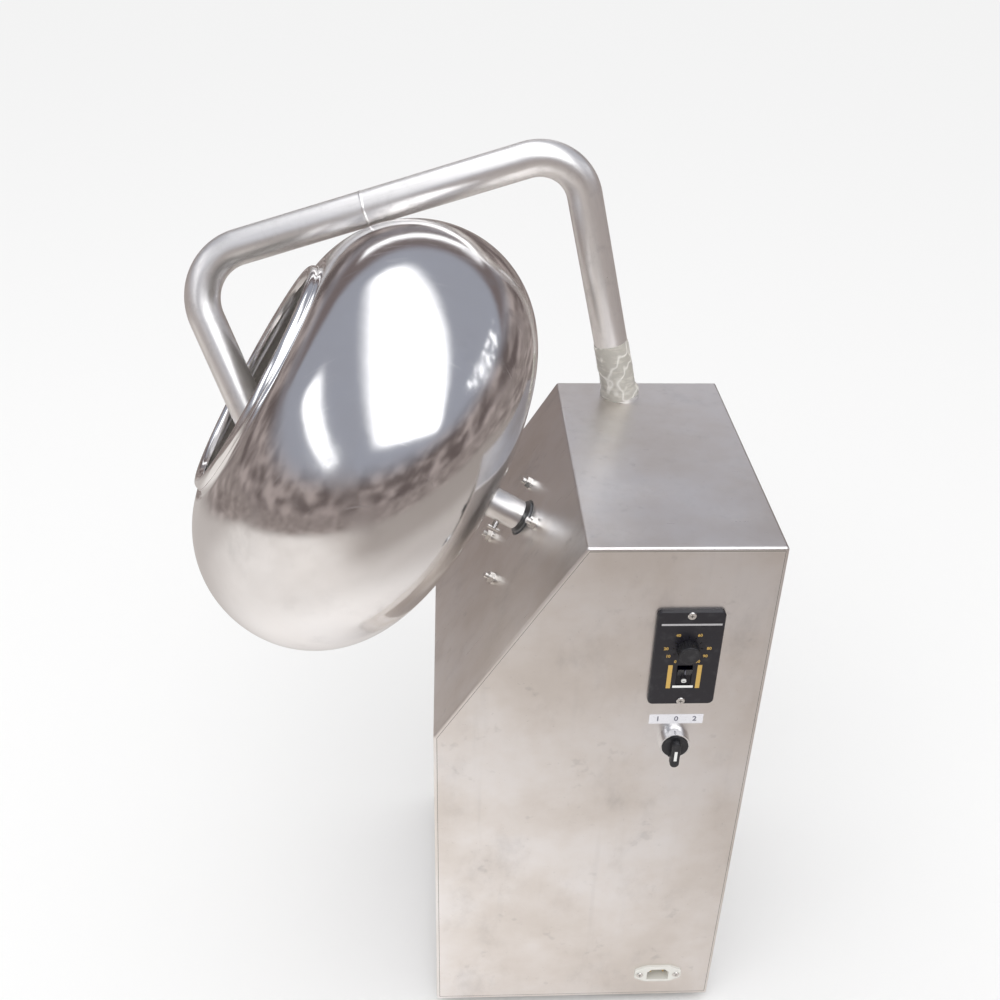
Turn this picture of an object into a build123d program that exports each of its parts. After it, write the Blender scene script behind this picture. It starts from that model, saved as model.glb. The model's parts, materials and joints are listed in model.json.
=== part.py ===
from build123d import *
import math
import os

os.makedirs("parts", exist_ok=True)

# Candy coating pan. Millimetres, +Z up, front of the cabinet towards -Y.
# The origin is on the floor, under the middle of the whole machine.

# Cabinet
cab_width = 300.0
cab_depth = 312.0
cab_height = 600.0
cab_x = 117.6
foot_height = 12.0
sheet = 1.5
base_sheet = 2.0
slant_run = 130.0
slant_rise = 210.0
bend_radius = 3.0
edge_radius = 2.6
front_lip = 3.2
rear_flange = 18.0
cover_margin = 1.0
foot_radius = 13.0
foot_inset = 32.0
foot_taper = 2.0
foot_recess = 6.0

# Pan, as a meridian round its axis. Distances along the axis start at the slanted face.
pan_radius = 208.0
pan_wall = 1.5
pan_middle = 175.5
pan_back = 54.5
pan_seat_radius = 48.0
back_arc_radius = 99.0
front_arc_radius = 111.0
front_slope = 14.0
fold_radius = 5.0
fold_turn = 50.0
groove_radius = 4.0
rim_middle = 286.0
rim_drop = 101.5
rim_radius = pan_radius - rim_drop
bead_radius = 6.0

# Drive
shaft_up_slope = 165.0
shaft_offset = 18.0
shaft_radius = 7.5
shaft_reach = 38.0
gear_size = 90.0
gear_length = 62.0
gear_corner = 12.0
bolt_pitch = 73.5
boss_radius = 17.0
boss_proud = 2.0
boss_hole_radius = 19.0
bearing_radius = 16.0
bearing_width = 9.0
bearing_depth = 5.0
motor_radius = 43.0
motor_length = 100.0
motor_flange = 8.0
fin_count = 20
fin_depth = 2.5
fin_width = 4.0
cover_length = 34.0
cover_wall = 1.2
cover_lap = 6.0
fan_radius = 36.0
fan_width = 18.0
fan_blades = 8
blade_thickness = 1.6
rotor_radius = 6.0
rotor_bore_depth = 30.0
hub_radius = 15.0
hub_start = 5.5
hub_flange_radius = 42.0
hub_flange_thickness = 6.0
hub_groove = 1.0
key_width = 5.0
key_height = 5.0
key_length = 22.0
clamp_position = 22.0
clamp_angle = 208.0
clamp_screw_radius = 3.0
clamp_bar_length = 13.0
clamp_bar_radius = 2.0
clamp_stem = 7.0

# Hot air pipe, as offsets from the point where its axis leaves the top of the cabinet
pipe_radius = 16.85
pipe_wall = 1.5
pipe_foot_x = 43.4
pipe_foot_inset = 28.4
pipe_foot_y = cab_depth / 2 - pipe_foot_inset
pipe_lift = 1.3
pipe_corner_1 = Vector(-60.3, 2.1, pipe_lift * pan_radius - 14.9)
pipe_corner_2 = Vector(-429.6, -15.9, pipe_lift * pan_radius - 125.2)
pipe_end = Vector(-366.5, -80.4, pipe_lift * pan_radius - 260.1)
pipe_bend_1 = 45.0
pipe_bend_2 = 50.0
pipe_sink = 10.0
socket_wall = 2.0
socket_height = 8.0

# Blower and heater
duct_length = 60.0
duct_depth = 40.0
duct_wall = 1.5
duct_flange = 9.0
heater_height = 110.0
scroll_start_radius = 48.0
scroll_end_radius = 75.0
scroll_start_angle = 72.0
scroll_rise = 92.0
scroll_steps = 8
inlet_ring_radius = 33.0
impeller_radius = 42.0
impeller_inner_radius = 34.0
impeller_width = 32.0
impeller_plate = 1.5
impeller_blades = 24
impeller_blade = 1.0
impeller_hub_radius = 9.0
blower_motor_radius = 29.0
blower_motor_length = 44.0
blower_shaft_radius = 4.0
blower_shaft_hole = 6.0
heater_fins = 8
heater_fin = 2.0
heater_block_height = 34.0
heater_frame = 3.0

# Speed control, places measured from the middle of the cabinet's front
control_x = 74.0
control_z = 484.0
control_width = 60.0
control_height = 105.0
control_corner = 5.0
control_face_depth = 4.0
control_case_width = 54.0
control_case_height = 90.0
control_case_depth = 78.0
control_screw_pitch = 96.5
knob_rise = 12.0
knob_radius = 10.0
knob_height = 10.5
knob_flutes = 18
knob_flute = 0.8
spindle_radius = 3.0
spindle_depth = 18.0
rocker_drop = 18.5
rocker_width = 13.0
rocker_half = 9.9
rocker_tilt = 10.0
rocker_slot = 23.0
rocker_crown = 6.2
rocker_valley = 4.2
rocker_back = 4.0
rocker_pivot_depth = 5.0
rocker_pin_radius = 1.0
rocker_pin_length = 18.0

# Hot air selector
selector_x = 73.0
selector_z = 386.0
selector_neck = 11.0
selector_neck_depth = 18.0
selector_ring_radius = 14.75
selector_ring_height = 11.0
selector_ring_taper = 4.0
selector_bore = 12.2
selector_disc_height = 3.0
selector_lever_back = 9.5
selector_lever_length = 30.0
selector_lever_width = 8.5
selector_lever_height = 6.0
selector_stem_radius = 5.0
selector_nut_width = 27.0
selector_nut_height = 5.0
contact_width = 30.0
contact_depth = 36.0

# Power inlet
inlet_x = 91.3
inlet_z = 37.8
inlet_width = 50.8
inlet_height = 24.0
inlet_flange = 3.0
inlet_end = 12.0
inlet_body_width = 27.0
inlet_body_height = 20.0
inlet_body_depth = 22.0
inlet_corner = 4.5
inlet_wall = 1.7
inlet_hollow_depth = 16.0
inlet_pitch = 40.0
pin_width = 2.0
pin_height = 4.0
pin_length = 10.0
pin_spacing = 7.0
pin_step = 2.0

# Electrical pieces on the base
capacitor_size = (58.0, 22.0, 36.0)
capacitor_place = (-70.0, -70.0)
clamp_strap = 1.5
clamp_foot = 12.0
clamp_strap_width = 16.0
block_ways = 6
block_pitch = 9.0
block_size = (17.0, 14.0)
block_place = (40.0, -70.0)

# Fasteners
m4 = 2.0
m4_head = 3.8
m4_head_height = 2.4
m4_length = 8.0
m6 = 3.0
m6_nut_width = 10.0
m6_nut_height = 5.0
m6_washer_radius = 6.2
m6_washer_height = 1.6
m6_end = 4.0

# Clearances
running_gap = 0.04
moving_gap = 0.4
bolt_gap = 0.2

# Reference planes and points
half_width = cab_width / 2
half_depth = cab_depth / 2
top_z = foot_height + cab_height
slope_angle = math.atan2(slant_rise, slant_run)
slope_dir = Vector(math.cos(slope_angle), 0, math.sin(slope_angle))
slant_normal = Vector(-math.sin(slope_angle), 0, math.cos(slope_angle))
slant_foot = Vector(cab_x - half_width, 0, top_z - slant_rise)
shaft_point = slant_foot + slope_dir * shaft_up_slope
front_face = Plane(origin=(cab_x, -half_depth, foot_height), x_dir=(1, 0, 0), z_dir=(0, -1, 0))
panel_inside = front_face.offset(-sheet)
back_face = Plane(origin=(cab_x, half_depth, foot_height), x_dir=(-1, 0, 0), z_dir=(0, 1, 0))
cover_inside = back_face.offset(-sheet)
base_top = Plane.XY.offset(foot_height + base_sheet)
drive_plane = Plane(origin=shaft_point, x_dir=slope_dir, z_dir=slant_normal)
drive_section = Plane(origin=shaft_point, x_dir=slant_normal, z_dir=(0, 1, 0))
drive_axis = Axis(shaft_point, slant_normal)
gear_plane = drive_plane.offset(-sheet)
motor_front = gear_plane.offset(-gear_length)
motor_rear = motor_front.offset(-motor_length)
pipe_foot = Vector(cab_x + pipe_foot_x, pipe_foot_y, top_z)
pipe_rise = pipe_corner_1.normalized()


def write(piece, name):
    """Label a finished piece and write it to its own file."""
    piece.part.label = name
    export_step(piece.part, f"parts/{name}.step")


def cabinet_outline(inset, bottom=0.0):
    """Corners of the cabinet seen from the front, moved inwards by inset but open at the bottom."""
    steep = math.tan(slope_angle)
    drop = inset / math.cos(slope_angle)
    left_top = cab_height - slant_rise + inset * steep - drop
    top_left = -half_width + (slant_rise - inset + drop) / steep
    return [
        (-half_width + inset, bottom),
        (-half_width + inset, left_top),
        (top_left, cab_height - inset),
        (half_width - inset, cab_height - inset),
        (half_width - inset, bottom),
    ]


cover_screw_inset = rear_flange / 2 + sheet
cover_screw_places = [
    (side * (half_width - cover_screw_inset), height)
    for side in (-1, 1)
    for height in (cover_screw_inset + base_sheet, (cab_height - slant_rise) / 2)
]
cover_screw_places += [
    (half_width - cover_screw_inset, cab_height - slant_rise - cover_screw_inset),
    (-half_width + cover_screw_inset, cab_height - cover_screw_inset),
    (-half_width + cover_screw_inset, cab_height - slant_rise),
    (half_width - slant_run - cover_screw_inset, cab_height - cover_screw_inset),
]
foot_places = [
    (cab_x + sx * (half_width - foot_inset), sy * (half_depth - foot_inset))
    for sx in (-1, 1)
    for sy in (-1, 1)
]

# Cabinet shell: one sheet folded into left side, slanted face, top and right side,
# with a narrow lip round the front and a flange for the cover at the back
with BuildPart() as cabinet_shell:
    with BuildSketch(front_face):
        with BuildLine():
            Polyline(cabinet_outline(0), close=True)
        make_face()
        fillet(vertices().group_by(Axis.Y)[-1] + vertices().group_by(Axis.Y)[-2], bend_radius)
    extrude(amount=-(cab_depth - sheet))
    front_edges = faces().sort_by(Axis.Y)[0].edges()
    fillet(front_edges.filter_by(lambda e: e.center().Z > foot_height + 1), edge_radius)
    with BuildSketch(panel_inside):
        with BuildLine():
            Polyline(cabinet_outline(sheet), close=True)
        make_face()
        fillet(vertices().group_by(Axis.Y)[-1] + vertices().group_by(Axis.Y)[-2], bend_radius - sheet)
    extrude(amount=-cab_depth, mode=Mode.SUBTRACT)
    with BuildSketch(front_face):
        with BuildLine():
            Polyline(cabinet_outline(front_lip), close=True)
        make_face()
    extrude(amount=-2 * sheet, mode=Mode.SUBTRACT)
    with BuildSketch(cover_inside):
        with BuildLine():
            Polyline([(-x, y) for x, y in cabinet_outline(sheet, base_sheet)], close=True)
        make_face()
        with BuildLine():
            Polyline([(-x, y) for x, y in cabinet_outline(rear_flange, base_sheet)], close=True)
        make_face(mode=Mode.SUBTRACT)
    extrude(amount=-sheet)
    with BuildSketch(cover_inside):
        with Locations(cover_screw_places):
            Circle(m4)
    extrude(amount=-2 * sheet, mode=Mode.SUBTRACT)
    with BuildSketch(drive_plane):
        Circle(boss_hole_radius)
        with Locations((-shaft_offset, 0)):
            with GridLocations(bolt_pitch, bolt_pitch, 2, 2):
                Circle(m6 + bolt_gap)
    extrude(amount=-3 * sheet, mode=Mode.SUBTRACT)
    with BuildSketch(Plane(origin=pipe_foot + pipe_rise * socket_height, z_dir=pipe_rise)):
        Circle(pipe_radius + bolt_gap)
    extrude(amount=-2 * socket_height, mode=Mode.SUBTRACT)
write(cabinet_shell, "cabinet_shell")

# Front panel, welded flush inside the lip, with the cut-outs for the controls
with BuildPart() as front_panel:
    with BuildSketch(front_face):
        with BuildLine():
            Polyline(cabinet_outline(front_lip), close=True)
        make_face()
        with Locations((control_x, control_z)):
            Rectangle(control_case_width + 2 * bolt_gap, control_case_height + 2 * bolt_gap, mode=Mode.SUBTRACT)
            with GridLocations(0, control_screw_pitch, 1, 2):
                Circle(m4, mode=Mode.SUBTRACT)
        with Locations((selector_x, selector_z)):
            Circle(selector_neck + bolt_gap, mode=Mode.SUBTRACT)
        with Locations((inlet_x, inlet_z)):
            Rectangle(inlet_body_width + 2 * bolt_gap, inlet_body_height + 2 * bolt_gap, mode=Mode.SUBTRACT)
            with GridLocations(inlet_pitch, 0, 2, 1):
                Circle(m4, mode=Mode.SUBTRACT)
    extrude(amount=-sheet)
write(front_panel, "front_panel")

# Base plate between the walls, with holes for the foot screws
with BuildPart() as base_plate:
    with BuildSketch(Plane.XY.offset(foot_height)):
        with Locations((cab_x, 0)):
            Rectangle(cab_width - 2 * sheet, cab_depth - 2 * sheet)
        with Locations(foot_places):
            Circle(m6, mode=Mode.SUBTRACT)
    extrude(amount=base_sheet)
write(base_plate, "base_plate")

# Rear cover with two fields of ventilation slots
vent_x = -(pipe_foot_x - duct_length / 2 - scroll_end_radius + duct_length)
scroll_z = cab_height - sheet - heater_height - scroll_rise
vent_length = 26.0
vent_width = 4.0
vent_step = 9.0
vent_rows = 7
with BuildPart() as rear_cover:
    with BuildSketch(back_face):
        with BuildLine():
            Polyline([(-x, y) for x, y in cabinet_outline(cover_margin, cover_margin)], close=True)
        make_face()
        with Locations(cover_screw_places):
            Circle(m4 + bolt_gap, mode=Mode.SUBTRACT)
        with Locations((vent_x, scroll_z), (vent_x, scroll_z / 3)):
            with GridLocations(vent_length + vent_step, vent_step, 2, vent_rows):
                SlotOverall(vent_length, vent_width, mode=Mode.SUBTRACT)
    extrude(amount=-sheet)
write(rear_cover, "rear_cover")

with BuildPart() as rear_cover_screws:
    with BuildSketch(back_face):
        with Locations(cover_screw_places):
            Circle(m4_head)
    extrude(amount=m4_head_height)
    chamfer(faces().filter_by(GeomType.PLANE).group_by(Axis.Y)[-1].edges(), m4_head_height / 3)
    with BuildSketch(back_face):
        with Locations(cover_screw_places):
            Circle(m4)
    extrude(amount=-m4_length)
write(rear_cover_screws, "rear_cover_screws")

# Rubber feet with a recess for the screw head
for number, (x, y) in enumerate(foot_places, start=1):
    with BuildPart() as foot:
        with BuildSketch():
            with Locations((x, y)):
                Circle(foot_radius - foot_taper)
        with BuildSketch(Plane.XY.offset(foot_height)):
            with Locations((x, y)):
                Circle(foot_radius)
        loft()
        with BuildSketch():
            with Locations((x, y)):
                Circle(m4_head + 2)
        extrude(amount=foot_recess, mode=Mode.SUBTRACT)
        with BuildSketch():
            with Locations((x, y)):
                Circle(m6)
        extrude(amount=foot_height, mode=Mode.SUBTRACT)
    write(foot, f"foot_{number}")

with BuildPart() as foot_screws:
    with BuildSketch(Plane.XY.offset(foot_recess)):
        with Locations(foot_places):
            Circle(m4_head + 1)
    extrude(amount=-m4_head_height)
    with BuildSketch(Plane.XY.offset(foot_recess)):
        with Locations(foot_places):
            Circle(m6)
    extrude(amount=foot_height - foot_recess + base_sheet)
    with BuildSketch(base_top):
        with Locations(foot_places):
            RegularPolygon(m6_nut_width / 2, 6, major_radius=False)
    extrude(amount=m6_nut_height)
write(foot_screws, "foot_screws")


# Pan
back_arc_height = pan_radius - back_arc_radius
back_depth = pan_middle - pan_back
dome_radius = (back_depth**2 + back_arc_height**2 - back_arc_radius**2) / (2 * (back_depth - back_arc_radius))
dome_middle = pan_back + dome_radius
dome_turn = math.degrees(math.atan2(back_arc_height, dome_middle - pan_middle))
pan_seat = dome_middle - math.sqrt(dome_radius**2 - pan_seat_radius**2)


def pan_meridian(depth):
    """Half section of the pan from its back to the groove behind the rim, depth inside the outer skin."""
    inner_dome = dome_radius - depth
    seat = pan_seat + depth
    seat_radius = math.sqrt(inner_dome**2 - (dome_middle - seat) ** 2)
    seat_turn = math.degrees(math.asin(seat_radius / inner_dome))
    Line((seat, 0), (seat, seat_radius))
    CenterArc((dome_middle, 0), inner_dome, 180 - seat_turn, seat_turn - dome_turn)
    CenterArc((pan_middle, back_arc_height), back_arc_radius - depth, 180 - dome_turn, dome_turn - 90)
    front_height = pan_radius - front_arc_radius
    front = CenterArc((pan_middle, front_height), front_arc_radius - depth, 90, front_slope - 90)
    fold = JernArc(front @ 1, front % 1, fold_radius - depth, -fold_turn)
    groove_turn = 90 + fold_turn - front_slope
    return JernArc(fold @ 1, fold % 1, groove_radius + depth, groove_turn)


with BuildPart() as pan_shell:
    with BuildSketch(drive_section):
        with BuildLine():
            outer_groove = pan_meridian(0)
            inner_groove = pan_meridian(pan_wall)
            outer_end = (rim_middle, (outer_groove @ 1).Y)
            inner_end = (rim_middle, (inner_groove @ 1).Y)
            Polyline(outer_groove @ 1, outer_end, inner_end, inner_groove @ 1)
            Line((pan_seat, 0), (pan_seat + pan_wall, 0))
        make_face()
        with Locations((rim_middle, rim_radius)):
            Circle(bead_radius)
    revolve(axis=drive_axis)
write(pan_shell, "pan_shell")

# Hub, turned in one piece with the flange that is welded to the pan's back
hub_flange_start = pan_seat - hub_flange_thickness
hub_bore_end = shaft_reach + 2
with BuildPart() as pan_hub:
    with BuildSketch(drive_section):
        with BuildLine():
            Polyline(
                (hub_start, shaft_radius),
                (hub_start, hub_radius - hub_groove),
                (hub_start + hub_groove, hub_radius),
                (hub_flange_start, hub_radius),
                (hub_flange_start, hub_flange_radius),
                (pan_seat, hub_flange_radius),
                (pan_seat, 0),
                (hub_bore_end, 0),
                (hub_bore_end, shaft_radius),
                close=True,
            )
        make_face()
    revolve(axis=drive_axis)
    with BuildSketch(drive_plane.offset(hub_start)):
        with Locations((0, shaft_radius)):
            Rectangle(key_width, key_height)
    extrude(amount=hub_bore_end - hub_start, mode=Mode.SUBTRACT)
    clamp_dir = slope_dir * math.cos(math.radians(clamp_angle)) + Vector(0, 1, 0) * math.sin(math.radians(clamp_angle))
    clamp_point = shaft_point + slant_normal * clamp_position
    clamp_plane = Plane(origin=clamp_point, x_dir=slant_normal, z_dir=clamp_dir)
    with BuildSketch(clamp_plane.offset(shaft_radius)):
        Circle(clamp_screw_radius + running_gap)
    extrude(amount=hub_radius, mode=Mode.SUBTRACT)
write(pan_hub, "pan_hub")

# Radial clamp screw with a cross bar, turned by hand to free the pan
with BuildPart() as hub_clamp_screw:
    stem_end = hub_radius + clamp_stem
    with BuildSketch(clamp_plane.offset(shaft_radius + running_gap)):
        Circle(clamp_screw_radius)
    extrude(amount=stem_end - shaft_radius)
    with BuildSketch(Plane(origin=clamp_point + clamp_dir * stem_end, x_dir=clamp_dir, z_dir=slant_normal)):
        Circle(clamp_bar_radius)
    extrude(amount=clamp_bar_length / 2, both=True)
write(hub_clamp_screw, "hub_clamp_screw")

# Output shaft and its key
shaft_inside = gear_length - bearing_depth
with BuildPart() as output_shaft:
    with BuildSketch(drive_plane.offset(-sheet - shaft_inside)):
        Circle(shaft_radius)
    extrude(amount=shaft_inside + sheet + shaft_reach)
    chamfer(edges().filter_by(GeomType.CIRCLE), 1)
    with BuildSketch(drive_plane.offset(hub_start)):
        with Locations((0, shaft_radius)):
            Rectangle(key_width, key_height)
    extrude(amount=key_length, mode=Mode.SUBTRACT)
write(output_shaft, "output_shaft")

with BuildPart() as shaft_key:
    with BuildSketch(drive_plane.offset(hub_start)):
        with Locations((0, shaft_radius)):
            Rectangle(key_width, key_height)
    extrude(amount=key_length)
write(shaft_key, "shaft_key")

# Gear head, bolted to the inside of the slanted face
front_bearing = gear_plane.offset(-bearing_depth)
rear_bearing = gear_plane.offset(-shaft_inside + bearing_width)
with BuildPart() as gear_head:
    with BuildSketch(gear_plane):
        with Locations((-shaft_offset, 0)):
            RectangleRounded(gear_size, gear_size, gear_corner)
    extrude(amount=-gear_length)
    with BuildSketch(gear_plane):
        Circle(boss_radius)
    extrude(amount=sheet + boss_proud)
    with BuildSketch(gear_plane.offset(sheet + boss_proud)):
        Circle(shaft_radius + running_gap)
    extrude(amount=-(sheet + boss_proud + shaft_inside + running_gap), mode=Mode.SUBTRACT)
    for seat in (front_bearing, rear_bearing):
        with BuildSketch(seat):
            Circle(bearing_radius)
        extrude(amount=-bearing_width, mode=Mode.SUBTRACT)
    with BuildSketch(gear_plane):
        with Locations((-shaft_offset, 0)):
            with GridLocations(bolt_pitch, bolt_pitch, 2, 2):
                Circle(m6 + bolt_gap)
    extrude(amount=-gear_length, mode=Mode.SUBTRACT)
write(gear_head, "gear_head")

with BuildPart() as output_bearings:
    for seat in (front_bearing, rear_bearing):
        with BuildSketch(seat):
            Circle(bearing_radius)
            Circle(shaft_radius + running_gap, mode=Mode.SUBTRACT)
        extrude(amount=-bearing_width)
write(output_bearings, "output_bearings")

# Motor behind the gear head
motor_mid = motor_front.location * Location((-shaft_offset, 0, 0))
motor_front_mid = Plane(motor_mid)
motor_rear_mid = motor_front_mid.offset(-motor_length)
with BuildPart() as motor_case:
    with BuildSketch(motor_front_mid):
        RectangleRounded(gear_size, gear_size, gear_corner)
        with GridLocations(bolt_pitch, bolt_pitch, 2, 2):
            Circle(m6 + bolt_gap, mode=Mode.SUBTRACT)
    extrude(amount=-motor_flange)
    with BuildSketch(motor_front_mid.offset(-motor_flange)):
        Circle(motor_radius)
    extrude(amount=motor_flange - motor_length)
    with BuildSketch(motor_front_mid.offset(-2 * motor_flange)):
        with PolarLocations(motor_radius, fin_count):
            Rectangle(2 * fin_depth, fin_width)
    extrude(amount=3 * motor_flange - motor_length, mode=Mode.SUBTRACT)
    with BuildSketch(motor_rear_mid):
        Circle(rotor_radius + running_gap)
    extrude(amount=rotor_bore_depth, mode=Mode.SUBTRACT)
write(motor_case, "motor_case")

fan_start = motor_rear_mid.offset(-cover_lap)
with BuildPart() as rotor_shaft:
    with BuildSketch(fan_start.offset(-fan_width)):
        Circle(rotor_radius)
    extrude(amount=fan_width + cover_lap + rotor_bore_depth - moving_gap)
write(rotor_shaft, "rotor_shaft")

with BuildPart() as cooling_fan:
    with BuildSketch(fan_start):
        Circle(2 * rotor_radius)
        with PolarLocations((fan_radius + rotor_radius) / 2, fan_blades):
            Rectangle(fan_radius - rotor_radius, blade_thickness)
    extrude(amount=-fan_width)
    with BuildSketch(fan_start):
        Circle(fan_radius)
    extrude(amount=-2 * blade_thickness / 2)
    with BuildSketch(fan_start):
        Circle(rotor_radius)
    extrude(amount=-fan_width, mode=Mode.SUBTRACT)
write(cooling_fan, "cooling_fan")

with BuildPart() as fan_cover:
    with BuildSketch(motor_rear_mid.offset(cover_lap)):
        Circle(motor_radius + cover_wall)
    extrude(amount=-cover_length)
    fillet(faces().sort_by(Axis(shaft_point, slant_normal))[0].edges(), 4)
    with BuildSketch(motor_rear_mid.offset(cover_lap)):
        Circle(motor_radius)
    extrude(amount=cover_wall - cover_length, mode=Mode.SUBTRACT)
    with BuildSketch(motor_rear_mid.offset(cover_lap - cover_length)):
        with PolarLocations(motor_radius * 0.62, 12):
            SlotOverall(motor_radius * 0.5, 4)
    extrude(amount=2 * cover_wall, mode=Mode.SUBTRACT)
write(fan_cover, "fan_cover")

# Four long bolts through motor flange, gear head and slanted face, with washers and nuts outside
bolt_plane = Plane(drive_plane.location * Location((-shaft_offset, 0, 0)))
with BuildPart() as mount_washers:
    with BuildSketch(bolt_plane):
        with GridLocations(bolt_pitch, bolt_pitch, 2, 2):
            Circle(m6_washer_radius)
            Circle(m6, mode=Mode.SUBTRACT)
    extrude(amount=m6_washer_height)
write(mount_washers, "mount_washers")

with BuildPart() as mount_nuts:
    with BuildSketch(bolt_plane.offset(m6_washer_height)):
        with GridLocations(bolt_pitch, bolt_pitch, 2, 2):
            RegularPolygon(m6_nut_width / 2, 6, major_radius=False)
            Circle(m6, mode=Mode.SUBTRACT)
    extrude(amount=m6_nut_height)
write(mount_nuts, "mount_nuts")

bolt_head_face = bolt_plane.offset(-sheet - gear_length - motor_flange)
with BuildPart() as mount_bolts:
    with BuildSketch(bolt_head_face):
        with GridLocations(bolt_pitch, bolt_pitch, 2, 2):
            Circle(m6)
    extrude(amount=motor_flange + gear_length + sheet + m6_washer_height + m6_nut_height + m6_end)
    with BuildSketch(bolt_head_face):
        with GridLocations(bolt_pitch, bolt_pitch, 2, 2):
            RegularPolygon(m6_nut_width / 2, 6, major_radius=False)
    extrude(amount=-m6_nut_height)
write(mount_bolts, "mount_bolts")

# Hot air pipe: one bent tube from the top of the cabinet over the pan and into its mouth
with BuildPart() as hot_air_pipe:
    with BuildLine() as pipe_path:
        FilletPolyline(
            pipe_foot - pipe_rise * pipe_sink,
            pipe_foot + pipe_corner_1,
            pipe_foot + pipe_corner_2,
            pipe_foot + pipe_end,
            radius=(pipe_bend_1, pipe_bend_2),
        )
    with BuildSketch(Plane(origin=pipe_path.line @ 0, z_dir=pipe_path.line % 0)):
        Circle(pipe_radius)
        Circle(pipe_radius - pipe_wall, mode=Mode.SUBTRACT)
    sweep()
write(hot_air_pipe, "hot_air_pipe")

# Socket that holds the pipe, welded on the top of the cabinet
with BuildPart() as pipe_socket:
    with BuildSketch(Plane(origin=pipe_foot + pipe_rise * socket_height, z_dir=pipe_rise)):
        Circle(pipe_radius + socket_wall)
        Circle(pipe_radius + running_gap, mode=Mode.SUBTRACT)
    extrude(amount=-2 * socket_height)
    split(bisect_by=Plane.XY.offset(top_z), keep=Keep.TOP)
write(pipe_socket, "pipe_socket")

# Heater box under the top sheet
duct_x = cab_x + pipe_foot_x
heater_top = Plane.XY.offset(top_z - sheet)
heater_bottom = heater_top.offset(-heater_height)
duct_screw_x = duct_length + duct_flange
duct_screw_y = duct_depth - 2 * m4_head - 2 * duct_wall
with BuildPart() as heater_box:
    with BuildSketch(heater_bottom):
        with Locations((duct_x, pipe_foot_y)):
            Rectangle(duct_length, duct_depth)
    extrude(amount=heater_height)
    for flange in (heater_bottom, heater_top.offset(-duct_wall)):
        with BuildSketch(flange):
            with Locations((duct_x, pipe_foot_y)):
                Rectangle(duct_length + 2 * duct_flange, duct_depth)
        extrude(amount=duct_wall)
    with BuildSketch(heater_bottom):
        with Locations((duct_x, pipe_foot_y)):
            Rectangle(duct_length - 2 * duct_wall, duct_depth - 2 * duct_wall)
    extrude(amount=heater_height, mode=Mode.SUBTRACT)
    with BuildSketch(heater_bottom):
        with Locations((duct_x, pipe_foot_y)):
            with GridLocations(duct_screw_x, duct_screw_y, 2, 2):
                Circle(m4)
    extrude(amount=duct_wall, mode=Mode.SUBTRACT)
write(heater_box, "heater_box")

# Finned heating block across the duct
block_bottom = heater_bottom.offset((heater_height - heater_block_height) / 2)
with BuildPart() as heater_core:
    with BuildSketch(block_bottom):
        with Locations((duct_x, pipe_foot_y)):
            Rectangle(duct_length - 2 * duct_wall, duct_depth - 2 * duct_wall)
            fin_space = (duct_length - 2 * duct_wall - 2 * heater_frame) / heater_fins
            with GridLocations(fin_space, 0, heater_fins, 1):
                Rectangle(fin_space - heater_fin, duct_depth - 2 * duct_wall - 2 * heater_frame, mode=Mode.SUBTRACT)
    extrude(amount=heater_block_height)
write(heater_core, "heater_core")

# Blower housing: a spiral that opens upwards into the heater box
scroll_x = duct_x + duct_length / 2 - scroll_end_radius
scroll_height = foot_height + scroll_z
duct_back = pipe_foot_y + duct_depth / 2
scroll_plane = Plane(origin=(scroll_x, duct_back, scroll_height), x_dir=(1, 0, 0), z_dir=(0, -1, 0))


def scroll_lines(wall, top):
    """Spiral whose radius grows evenly with its angle, joined to a straight outlet up to top."""
    sweep_angle = 360 - scroll_start_angle
    points = []
    for step in range(scroll_steps + 1):
        share = step / scroll_steps
        angle = math.radians(scroll_start_angle + share * sweep_angle)
        radius = scroll_start_radius + share * (scroll_end_radius - scroll_start_radius) - wall
        points.append((radius * math.cos(angle), radius * math.sin(angle)))
    left = scroll_end_radius - duct_length + wall
    Spline(*points)
    Polyline(points[-1], (scroll_end_radius - wall, top), (left, top), points[0])


with BuildPart() as blower_scroll:
    with BuildSketch(scroll_plane):
        with BuildLine():
            scroll_lines(0, scroll_rise)
        make_face()
    extrude(amount=duct_depth)
    with BuildSketch(Plane.XY.offset(scroll_height + scroll_rise)):
        with Locations((duct_x, pipe_foot_y)):
            Rectangle(duct_length + 2 * duct_flange, duct_depth)
    extrude(amount=-duct_wall)
    with BuildSketch(scroll_plane.offset(duct_wall)):
        with BuildLine():
            scroll_lines(duct_wall, scroll_rise + duct_wall)
        make_face()
    extrude(amount=duct_depth - 2 * duct_wall, mode=Mode.SUBTRACT)
    with BuildSketch(scroll_plane):
        Circle(inlet_ring_radius)
    extrude(amount=duct_wall, mode=Mode.SUBTRACT)
    with BuildSketch(scroll_plane.offset(duct_depth)):
        Circle(blower_shaft_hole)
    extrude(amount=-duct_wall, mode=Mode.SUBTRACT)
    with BuildSketch(Plane.XY.offset(scroll_height + scroll_rise)):
        with Locations((duct_x, pipe_foot_y)):
            with GridLocations(duct_screw_x, duct_screw_y, 2, 2):
                Circle(m4)
    extrude(amount=-duct_wall, mode=Mode.SUBTRACT)
write(blower_scroll, "blower_scroll")

with BuildPart() as duct_screws:
    with BuildSketch(Plane.XY.offset(scroll_height + scroll_rise + duct_wall)):
        with Locations((duct_x, pipe_foot_y)):
            with GridLocations(duct_screw_x, duct_screw_y, 2, 2):
                Circle(m4_head)
    extrude(amount=m4_head_height)
    with BuildSketch(Plane.XY.offset(scroll_height + scroll_rise + duct_wall)):
        with Locations((duct_x, pipe_foot_y)):
            with GridLocations(duct_screw_x, duct_screw_y, 2, 2):
                Circle(m4)
    extrude(amount=-m4_length)
write(duct_screws, "duct_screws")

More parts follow.
